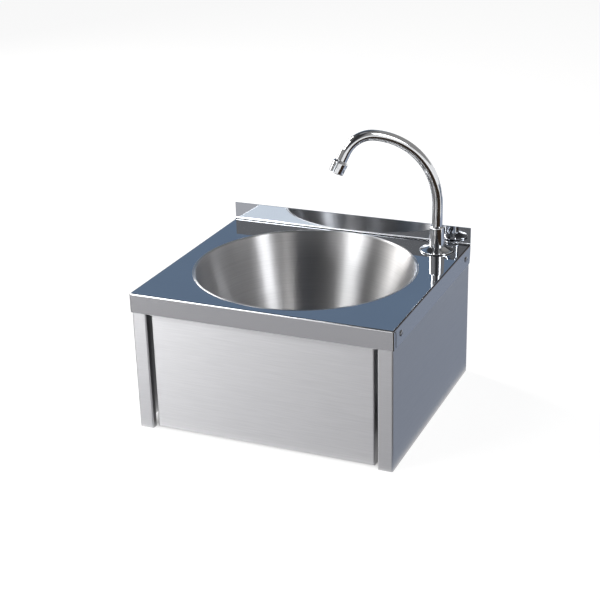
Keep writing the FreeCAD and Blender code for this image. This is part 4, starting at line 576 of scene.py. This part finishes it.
class Shape:
    """Points and faces of a piece, in metres, made from outlines in millimetres."""

    def __init__(self):
        self.points = []
        self.faces = []

    def grid(self, rows, closed_along=False):
        """Join closed rows of points into a skin, and give the number of its first point."""
        count = len(rows[0])
        base = len(self.points)
        for row in rows:
            self.points.extend(row)
        for line in range(len(rows) if closed_along else len(rows) - 1):
            here = base + line * count
            there = base + ((line + 1) % len(rows)) * count
            for index in range(count):
                after = (index + 1) % count
                self.faces.append((here + index, here + after, there + after, there + index))
        return base

    def capped(self, rows):
        """Skin with a face over each end."""
        first = self.grid(rows)
        count = len(rows[0])
        last = first + count * (len(rows) - 1)
        self.faces.append(tuple(range(first, first + count)))
        self.faces.append(tuple(reversed(range(last, last + count))))

    def lathe(self, outline, origin, way, segments=96, closed=True):
        """Turn an outline of (radius, distance along the way) round an axis."""
        self.grid([ring(origin, way, along, [radius] * segments)
                   for radius, along in held(outline, closed)], closed_along=closed)
        return self

    def threaded(self, origin, way, start, end, major, depth, pitch, segments=48):
        """Screw thread on a round bar, between two distances along the way."""
        steps = max(2, round((end - start) / pitch * 8))
        rows = []
        for line in range(steps + 1):
            along = start + (end - start) * line / steps
            fade = min(1.0, (along - start) / pitch, (end - along) / pitch)
            reaches = []
            for index in range(segments):
                phase = (along / pitch - index / segments) % 1.0
                reaches.append(major - depth * (1.0 - fade * (1.0 - abs(2.0 * phase - 1.0))))
            rows.append(ring(origin, way, along, reaches))
        self.capped(rows)

    def sleeve_thread(self, origin, way, start, end, major, depth, pitch, bore, segments):
        """Screw thread with blunt crests, as a sleeve with a plain bore."""
        steps = round((end - start) / pitch * 10)
        rows = []
        for line in range(steps + 1):
            along = start + (end - start) * line / steps
            fade = min(1.0, (along - start) / pitch * 2, (end - along) / pitch * 2)
            reaches = []
            for index in range(segments):
                phase = (along / pitch - index / segments) % 1.0
                crest = min(1.0, max(0.0, 1.3 * (1.0 - abs(2.0 * phase - 1.0)) - 0.15))
                reaches.append(major - depth * (1.0 - fade * crest))
            rows.append(ring(origin, way, along, reaches))
        rows += [ring(origin, way, along, [bore] * segments) for along in (end, start)]
        self.grid(rows, closed_along=True)

    def hexagon(self, flats, origin, way, start, end, chamfer, bore=0.0):
        """Hexagon prism with chamfered corners, between two distances along the way."""
        segments = 72
        corner = flats / math.sqrt(3)
        face = flats / 2 * 0.985
        edges = []
        for index in range(segments):
            angle = 2 * math.pi * index / segments
            off_flat = (angle + math.pi / 6) % (math.pi / 3) - math.pi / 6
            edges.append(flats / 2 / math.cos(off_flat))
        levels = ((start, face), (start + chamfer, corner), (end - chamfer, corner), (end, face))
        rows = [ring(origin, way, along, [min(edge, reach) for edge in edges])
                for along, reach in levels]
        if bore:
            rows += [ring(origin, way, along, [bore] * segments) for along in (end, start)]
            self.grid(rows, closed_along=True)
        else:
            self.capped(rows)

    def wire(self, line, radius, segments):
        """Round wire along a line, with closed ends, all in metres."""
        self.capped(tube_rows(line, carried_frames(line), radius, segments))

    def mesh(self, name):
        """All that was added, as one mesh without double points."""
        weld = 0.000004
        mesh = bpy.data.meshes.new(name)
        mesh.from_pydata([tuple(point) for point in self.points], [], self.faces)
        work = bmesh.new()
        work.from_mesh(mesh)
        bmesh.ops.remove_doubles(work, verts=work.verts, dist=weld)
        bmesh.ops.dissolve_degenerate(work, dist=weld, edges=work.edges)
        bmesh.ops.recalc_face_normals(work, faces=work.faces)
        work.to_mesh(mesh)
        work.free()
        return mesh


def held(outline, closed, margin=0.12):
    """The outline with points near the ends of its longer runs, which then shade straight."""
    points = []
    count = len(outline)
    for index in range(count if closed else count - 1):
        first, last = Vector(outline[index]), Vector(outline[(index + 1) % count])
        length = (last - first).length
        points.append(tuple(first))
        if length > 5 * margin:
            points.append(tuple(first.lerp(last, margin / length)))
            points.append(tuple(last.lerp(first, margin / length)))
    if not closed:
        points.append(tuple(outline[-1]))
    return points


def arc_points(centre, radius, start, end, steps):
    """Points (radius, distance) on an arc, angles in degrees."""
    points = []
    for index in range(steps + 1):
        angle = math.radians(start + (end - start) * index / steps)
        points.append((centre[0] + radius * math.cos(angle), centre[1] + radius * math.sin(angle)))
    return points


# ---------------------------------------------------------------- spout
def spout_line():
    """Centre line of the swan neck, its mouth and its way out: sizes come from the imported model."""
    foot, straight = 17.0, 72.8
    rise_radius, fall_radius = 118.0, 41.6
    rise, whole = math.radians(81.0), math.radians(153.0)
    last_run, to_mouth = 24.6, 33.0
    shift = rise_radius - fall_radius
    second = (rise_radius - shift * math.cos(rise), straight + shift * math.sin(rise))

    def place(along, height):
        return TAP + (SPOUT_WAY * along + UP * height) * MM

    def fall(angle):
        return place(second[0] - fall_radius * math.cos(angle),
                     second[1] + fall_radius * math.sin(angle))

    line = [place(0.0, foot + (straight - foot) * index / 12) for index in range(12)]
    for index in range(72):
        angle = rise * index / 72
        line.append(place(rise_radius * (1 - math.cos(angle)), straight + rise_radius * math.sin(angle)))
    line += [fall(rise + (whole - rise) * index / 36) for index in range(36)]
    bend = fall(whole)
    way = (SPOUT_WAY * math.sin(whole) + UP * math.cos(whole)).normalized()
    line += [bend + way * (last_run * index / 6) * MM for index in range(7)]
    return line, bend + way * (to_mouth * MM), way


def make_spout():
    """Swan neck, and the sleeve of the aerator on its end."""
    outer, bore, segments = 8.0, 6.5, 48
    line, mouth, way = spout_line()
    across = SPOUT_WAY.cross(UP)
    frames = [(across, along.cross(across)) for along in ways_along(line)]
    outside = tube_rows(line, frames, outer * MM, segments)
    inside = tube_rows(line, frames, bore * MM, segments)
    neck = Shape()
    neck.grid(outside + list(reversed(inside)), closed_along=True)
    make_piece("swan_neck", neck, "chrome", "spout", ("spout_tube",), 60.0)

    sleeve_length = 20.0
    sleeve = [(8.02, 0.0), (8.6, 0.0), (8.85, 0.25)]
    sleeve += [(11.15, 3.15), (11.4, 3.45), (11.48, 3.8), (11.3, 10.6)]
    sleeve += [(11.05, 10.75), (11.05, 11.05), (11.27, 11.2)]
    sleeve += [(11.04, 18.9), (10.9, 19.3), (10.5, 19.75), (10.2, 19.9), (9.9, 19.9), (9.4, 19.5)]
    sleeve += [(9.4, 12.2), (8.02, 11.6)]
    housing = Shape().lathe(sleeve, mouth - way * (sleeve_length * MM), way)
    make_piece("aerator_sleeve", housing, "chrome", "spout", ("aerator_housing",), 22.0)


def make_spout_foot():
    """Dished base with its rounded rim, and the tapered collar nut above it."""
    neck, neck_top = 12.2, 7.0
    rim_end, rim_top, rim_round = 25.1, 2.2, 0.7
    dish = 0.5
    base = [(9.6, neck_top), (neck, neck_top)]
    for index in range(1, 16):
        share = index / 16
        sag = dish * 4 * share * (1 - share)
        base.append((neck + (rim_end - neck) * share, neck_top + (rim_top - neck_top) * share - sag))
    base += arc_points((rim_end, rim_top - rim_round), rim_round, 90.0, 0.0, 8)
    base += [(25.8, 0.75), (25.65, 0.6), (10.4, 0.6), (9.9, -1.0)]
    base += [(9.9, -44.4), (9.4, -45.0), (5.0, -45.0), (5.0, 6.7), (8.1, 6.7), (8.1, 25.0), (9.6, 25.0)]
    rose = Shape().lathe(base, TAP, UP, 128)
    rose.threaded(TAP, UP, -44.4, -1.0, 10.4, 0.5, 1.5)
    make_piece("spout_rose", rose, "chrome", "basin", ("spout_base",), 30.0)

    collar = [(9.6, 7.0), (11.5, 7.0), (11.8, 7.3), (11.12, 36.9), (10.98, 37.45), (9.6, 38.85)]
    collar += [(9.2, 39.0), (8.1, 39.0), (8.1, 27.6), (10.1, 27.6), (10.1, 25.0), (9.6, 25.0)]
    nut = Shape().lathe(collar, TAP, UP)
    make_piece("collar_nut", nut, "chrome", "basin", ("spout_collar",), 30.0)


# ---------------------------------------------------------------- basin details
def make_bowl_edge():
    """Edge where the deck turns down into the bowl, in the bowl's finish."""
    turn = 74.0
    bend_radius, bend_height = 166.5, 209.5
    proud, under = 3.25, 2.7
    drop, thick = 2.0, 0.5

    def bent(radius, steps):
        """Points round the bend, from its top down to the bowl."""
        return [(bend_radius - radius * math.sin(math.radians(turn * index / steps)),
                 bend_height + radius * math.cos(math.radians(turn * index / steps)))
                for index in range(steps + 1)]

    outline = [(168.2, 212.45), (167.4, 212.66)] + bent(proud, 12)
    last = outline[-1]
    slope = math.radians(90.0 - turn)
    foot = (last[0] - drop * math.sin(slope), last[1] - drop * math.cos(slope))
    outline += [foot, (foot[0] + thick, foot[1] - 0.02), (last[0] + thick, last[1] - 0.05)]
    outline += list(reversed(bent(under, 6)))
    edge = Shape().lathe(outline, BOWL_AXIS, UP, 288)
    make_piece("bowl_edge", edge, "bowl_steel", "basin", (), 50.0)


def screw_shape(shape, place, way, length, thread_start):
    """Pan-head screw with a cross recess: place is under the head, the way points along the thread."""
    segments, rings = 96, 14
    head, rim, crown, crown_reach = 4.3, 1.1, 0.88, 4.32
    arm_half, arm_reach, recess, recess_run = 0.42, 2.5, 0.95, 0.9
    shank = 2.5
    shape.lathe([(2.6, 0.0), (4.1, 0.0), (head, -0.2), (head, -rim)], place, way, segments, closed=False)
    side, other = frame_along(way)
    dome = []
    for line in range(rings + 1):
        radius = head * (1 - line / rings)
        high = rim + crown * math.sqrt(max(0.0, 1 - (radius / crown_reach) ** 2))
        row = []
        for index in range(segments):
            angle = 2 * math.pi * index / segments
            x, y = radius * math.cos(angle), radius * math.sin(angle)
            long = max(abs(x), abs(y))
            sunk = 0.0
            if min(abs(x), abs(y)) < arm_half and long < arm_reach:
                sunk = recess * min(1.0, (arm_reach - long) / recess_run)
            row.append(place + (side * x + other * y - way * (high - sunk)) * MM)
        dome.append(row)
    shape.grid(dome)
    shape.lathe([(2.6, 0.0), (shank, 0.0), (shank, thread_start)], place, way, segments, closed=False)
    shape.threaded(place, way, thread_start, length, shank, 0.28, 0.8, 32)


def make_screws():
    """Pivot screws and rear screws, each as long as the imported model's."""
    for name, node, y, z, start in (("pivot_pan_screws", "pivot_screws", -0.1474, 0.198, 8.0),
                                    ("deck_pan_screws", "deck_screws", 0.1541, 0.1967, 3.2)):
        shape = Shape()
        for hand in (1, -1):
            across = [point.co.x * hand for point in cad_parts[node].data.vertices]
            tip = min(x for x in across if x > 0)
            place = Vector((HALF_WIDTH * hand, y, z))
            screw_shape(shape, place, Vector((-hand, 0.0, 0.0)), (HALF_WIDTH - tip) / MM, start)
        make_piece(name, shape, "fastener_steel", "basin", (node,), 40.0)


def make_seam_shade_lines():
    """Dark line where each corner tab of the front apron lies on the side apron: a thin wire in the
    rubber finish, painted shade for the seam's gap.
    """
    across, thick = 0.19945, 0.0009
    front, low, straight = -0.1692, 0.1862, 0.0180
    bend_place, bend_radius = (-0.1750, 0.2042), 0.0058
    shape = Shape()
    for hand in (1, -1):
        line = [(front, low + straight * index / 8) for index in range(8)]
        line += arc_points(bend_place, bend_radius, 0.0, 80.0, 8)
        shape.wire([Vector((across * hand, y, z)) for y, z in line], thick, 12)
    make_piece("painted_seam_shade", shape, "rubber", "basin", (), 60.0)


# ---------------------------------------------------------------- valve, hose and waste
def make_spring():
    """Return spring: closed end turns and an open middle."""
    start, end, turns, mean, wire = -139.7, -121.7, 5.0, 6.6, 0.6
    axis_x, axis_z = 130.0, 44.0
    steps = 300
    closed = 0.8
    flat = wire * 2 / (end - start)
    line = []
    for index in range(steps + 1):
        turn = turns * index / steps
        if turn < closed:
            share = flat * turn / closed
        elif turn > turns - closed:
            share = 1.0 - flat * (turns - turn) / closed
        else:
            share = flat + (1.0 - 2 * flat) * (turn - closed) / (turns - 2 * closed)
        along = start + wire + (end - start - 2 * wire) * share
        angle = 2 * math.pi * turn
        x, z = axis_x + mean * math.cos(angle), axis_z + mean * math.sin(angle)
        line.append(Vector((x, along, z)) * MM)
    shape = Shape()
    shape.wire(line, wire * MM, 12)
    piece = make_piece("return_spring", shape, "spring_steel", "basin", ("valve_spring",), 60.0)
    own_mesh(piece)


def hose_line():
    """Smooth line of the hose, read from a spline on the corners of its route."""
    corners = [(0.130, -0.0417, 0.044), (0.130, -0.0077, 0.044), (0.158, 0.0533, 0.044),
               (0.158, 0.1388, 0.044), (0.158, 0.1388, 0.1675)]
    curve = bpy.data.curves.new("hose_route", "CURVE")
    curve.dimensions = "3D"
    curve.resolution_u = 60
    spline = curve.splines.new("NURBS")
    spline.points.add(len(corners) - 1)
    for point, corner in zip(spline.points, corners):
        point.co = corner + (1.0,)
    spline.order_u = 3
    spline.use_endpoint_u = True
    route = bpy.data.objects.new("hose_route", curve)
    read = bpy.data.meshes.new_from_object(route)
    line = [vertex.co.copy() for vertex in read.vertices]
    bpy.data.objects.remove(route)
    bpy.data.meshes.remove(read)
    return line


def make_hose():
    """Braided hose from the valve to the spout: a rubber core under two sets of woven strands."""
    core_radius, spacing = 0.0053, 0.0009
    strands, lead, middle, lift, half_width, half_thick = 14, 0.034, 0.00568, 0.00016, 0.00058, 0.00011
    line = hose_line()
    core = Shape()
    core.wire(line, core_radius, 32)
    make_piece("hose_core", core, "rubber", "basin", (), 60.0)

    frames = carried_frames(line)
    slope = math.atan2(2 * math.pi * middle, lead)
    reach = [0.0]
    for first, last in zip(line, line[1:]):
        reach.append(reach[-1] + (last - first).length)
    count = int(reach[-1] / spacing)

    def strand_rows(hand, strand):
        """Flat wire that winds round the hose, over and under those of the other hand."""
        rows = []
        spot = 0
        for step in range(count + 1):
            along = reach[-1] * step / count
            while spot < len(reach) - 2 and reach[spot + 1] < along:
                spot += 1
            share = (along - reach[spot]) / (reach[spot + 1] - reach[spot])
            centre = line[spot].lerp(line[spot + 1], share)
            side = frames[spot][0].lerp(frames[spot + 1][0], share)
            other = frames[spot][1].lerp(frames[spot + 1][1], share)
            angle = hand * 2 * math.pi * along / lead + 2 * math.pi * strand / strands
            weave = hand * math.cos(strands * 2 * math.pi * along / lead + math.pi * strand)
            out = side * math.cos(angle) + other * math.sin(angle)
            turn = (other * math.cos(angle) - side * math.sin(angle)) * hand
            way = (line[spot + 1] - line[spot]).normalized()
            broad = way * math.sin(slope) - turn * math.cos(slope)
            heart = centre + out * (middle + lift * weave)
            rows.append([heart + broad * half_width, heart + out * half_thick,
                         heart - broad * half_width, heart - out * half_thick])
        return rows

    braid = Shape()
    for hand in (1, -1):
        for strand in range(strands):
            braid.capped(strand_rows(hand, strand))
    make_piece("hose_braid", braid, "braided_hose", "basin", ("outlet_hose",), 40.0)


def make_inlets():
    """Check valves under the mixer: spigot, spanner hexagon and threaded tail."""
    outline = [(9.0, 24.0), (9.0, 31.6), (8.6, 32.0), (7.0, 32.0), (7.0, 4.6), (7.6, 4.0)]
    outline += [(8.9, 4.0), (9.3, 4.5), (9.3, 16.4), (9.6, 17.0), (11.0, 17.3), (11.0, 23.7)]
    for name, node in (("hot_inlet", "hot_check_valve"), ("cold_inlet", "cold_check_valve")):
        low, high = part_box(node)
        origin = Vector(((low[0] + high[0]) / 2, (low[1] + high[1]) / 2, 0.0))
        shape = Shape().lathe(outline, origin, UP)
        shape.hexagon(24.0, origin, UP, 17.0, 24.0, 0.9, bore=8.0)
        shape.sleeve_thread(origin, UP, 4.3, 16.2, 10.48, 1.1, 1.814, 9.0, 72)
        make_piece(name, shape, "brass", "basin", (node,), 35.0)


def make_waste_thread():
    """Thread on the tail of the waste, in the tail's own finish."""
    shape = Shape()
    shape.sleeve_thread(BOWL_AXIS, UP, 6.6, 33.0, 21.35, 0.36, 2.309, 20.7, 128)
    make_piece("waste_thread", shape, slot_of("waste_body"), "basin", (), 35.0)


def make_adjuster():
    """Adjusting screw: threaded shank, spanner hexagon and domed nose."""
    face = -146.4
    shape = Shape()
    shape.threaded(VALVE_AXIS, ALONG, -163.0, -150.8, 4.0, 0.45, 1.25)
    shape.hexagon(13.0, VALVE_AXIS, ALONG, -151.0, face, 0.6)
    nose = [(6.0, -147.0), (5.9, face)]
    for degrees in range(0, 91, 15):
        angle = math.radians(degrees)
        nose.append((3.2 + 2.6 * math.cos(angle), face + 1.4 * math.sin(angle)))
    nose += [(1.6, -144.98), (0.02, -144.95)]
    shape.lathe(nose, VALVE_AXIS, ALONG, 72, closed=False)
    make_piece("adjuster", shape, slot_of("adjusting_screw"), "knee", ("adjusting_screw",), 30.0)


def dress(finishes):
    """Give every CAD node's slots the finish of the slot's name."""
    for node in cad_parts.values():
        for slot in node.material_slots:
            slot.material = finishes[slot.material.name.split(".")[0]]


make_camera()
make_floor()
make_world()
make_lamps()
make_cards()
bpy.context.scene.view_settings.view_transform = "Standard"
FINISHES = make_finishes()
dress(FINISHES)
make_spout()
make_spout_foot()
make_bowl_edge()
make_screws()
make_seam_shade_lines()
make_spring()
make_hose()
make_inlets()
make_waste_thread()
make_adjuster()
